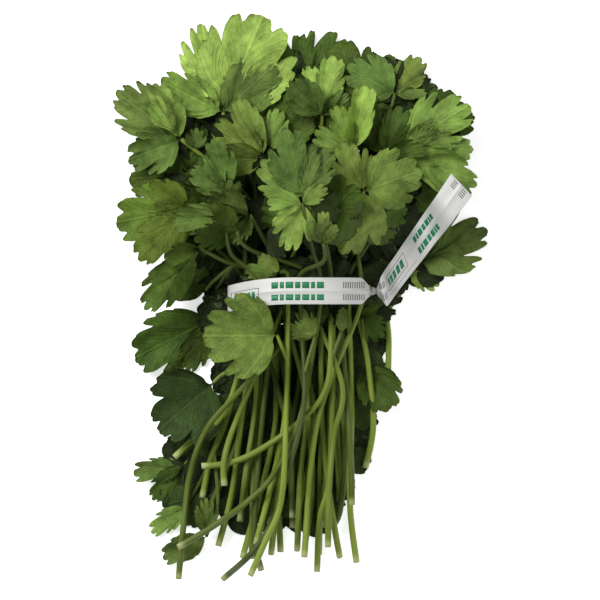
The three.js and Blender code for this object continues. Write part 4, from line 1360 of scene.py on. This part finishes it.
def build_print(arch, tail, green, grey):
    x = np.linspace(TIE_LEFT + 1, TIE_RIGHT - 1, 400)
    ring = upper_frames(arch, x)
    free, _, along = tail_strip(tail)
    length = along[-1]
    return [
        print_object("tie_ring_green", ring, x, [*boxed(-33.5, -20, -1), *dashes(-14, 1.2)], green),
        print_object("tie_ring_grey", ring, x, [*framed(-33.5, -20, -1), *stripes(20, 30, 1.1)], grey),
        print_object("tie_tail_green", free, along, [*boxed(11, 30, -0.8), *dashes(40, 1.0)], green),
        print_object(
            "tie_tail_grey", free, along,
            [*framed(11, 30, -0.8), *small_print(12, 36, 4.6), *stripes(3.5, 8.5, 1.1),
             *stripes(length - 4.5, length - 1, 1.0)], grey,
        ),
    ]


TWIST = {"from": TIE_RIGHT - 2.5, "to": 40, "wide": 3.6, "flare": 3.4, "thick": 2.2, "turns": 1.25}
FOLDS = 7
FOLD_DEPTH = 0.13


def twist_object(paper):
    """The paper pinched and turned, with lengthwise folds. It widens to both ends."""
    count, sides = 48, 42
    share = np.arange(count) / (count - 1)
    turn = 2 * math.pi * TWIST["turns"] * share[:, None]
    angle = 2 * math.pi * np.arange(sides)[None, :] / sides
    ends = np.abs(2 * share - 1)[:, None] ** 2
    fold = 1 + FOLD_DEPTH * np.cos(FOLDS * angle)
    u = np.cos(angle) * fold * (TWIST["wide"] + TWIST["flare"] * ends) / 2
    v = np.sin(angle) * fold * TWIST["thick"] * (1 - 0.4 * ends) / 2
    x = np.repeat((TWIST["from"] + (TWIST["to"] - TWIST["from"]) * share)[:, None], sides, axis=1)
    y = u * np.cos(turn) - v * np.sin(turn)
    z = TIE_FLOOR_BULGE + u * np.sin(turn) + v * np.cos(turn)
    faces = [face[::-1] for face in ring_faces(count, sides)]
    return new_mesh("tie_twist", np.stack([x, y, z], axis=-1).reshape(-1, 3), faces, paper)


# Stage


FLOOR_SIZE = 6
FLOOR_DROP = 0.0004
FLOOR_GLOW = 0.6
PHOTO_SIZE = 600
LENS = 200
SENSOR = 36
FOCUS_HEIGHT = 0.025


def add_stage():
    """A white floor, a little luminous, as the ground of the photograph is."""
    bpy.ops.mesh.primitive_plane_add(size=FLOOR_SIZE, location=(0, 0, -FLOOR_DROP))
    floor = bpy.context.object
    floor.name = "floor"
    floor.data.materials.append(plain_material("floor_white", (0.85, 0.85, 0.85), 0.9, FLOOR_GLOW))


def add_light(name, location, size, power):
    data = bpy.data.lights.new(name, "AREA")
    data.size = size
    data.energy = power
    light = bpy.data.objects.new(name, data)
    light.location = location
    light.rotation_euler = (-Vector(location)).to_track_quat("-Z", "Y").to_euler()
    bpy.context.scene.collection.objects.link(light)


def add_camera():
    """Straight above, with a long lens, framed as the photograph is."""
    data = bpy.data.cameras.new("camera")
    data.lens = LENS
    data.sensor_width = SENSOR
    data.clip_end = 20
    camera = bpy.data.objects.new("camera", data)
    seen = PHOTO_SIZE * MM_PER_PIXEL * METRES
    middle = place((PHOTO_SIZE / 2, PHOTO_SIZE / 2))
    distance = seen * LENS / SENSOR
    camera.location = (middle[0] * METRES, middle[1] * METRES, distance + FOCUS_HEIGHT)
    bpy.context.scene.collection.objects.link(camera)
    bpy.context.scene.camera = camera


def add_world():
    world = bpy.data.worlds.new("studio")
    world.use_nodes = True
    background = world.node_tree.nodes["Background"]
    background.inputs["Color"].default_value = (1, 1, 1, 1)
    background.inputs["Strength"].default_value = 0.3
    bpy.context.scene.world = world


def main():
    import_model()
    add_camera()
    leaf, stem = leaf_material(), stem_material()
    paper = plain_material("tie_paper", (0.52, 0.52, 0.50), 0.5)
    green = plain_material("tie_green", (0.008, 0.166, 0.064), 0.5)
    grey = plain_material("tie_grey", (0.13, 0.12, 0.12), 0.5)
    laid, arch, tail = lay_bunch()
    rest_all(laid)
    add_pairs(laid)
    fill_gaps(laid, arch)
    for row, branches in laid:
        for piece in (leaves_object(row, branches, leaf), stem_object(row, branches, stem)):
            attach(piece, "root")
            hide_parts(row["name"])
    for piece in [*build_tie(arch, tail, paper), *build_print(arch, tail, green, grey)]:
        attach(piece, "root")
        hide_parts("tie")
    add_stage()
    add_world()
    add_light("key", (-0.62, 0.55, 1.0), 0.7, 19)
    add_light("fill", (0.75, -0.45, 1.0), 1.2, 6)
    bpy.context.scene.view_settings.view_transform = "Standard"
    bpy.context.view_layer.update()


main()
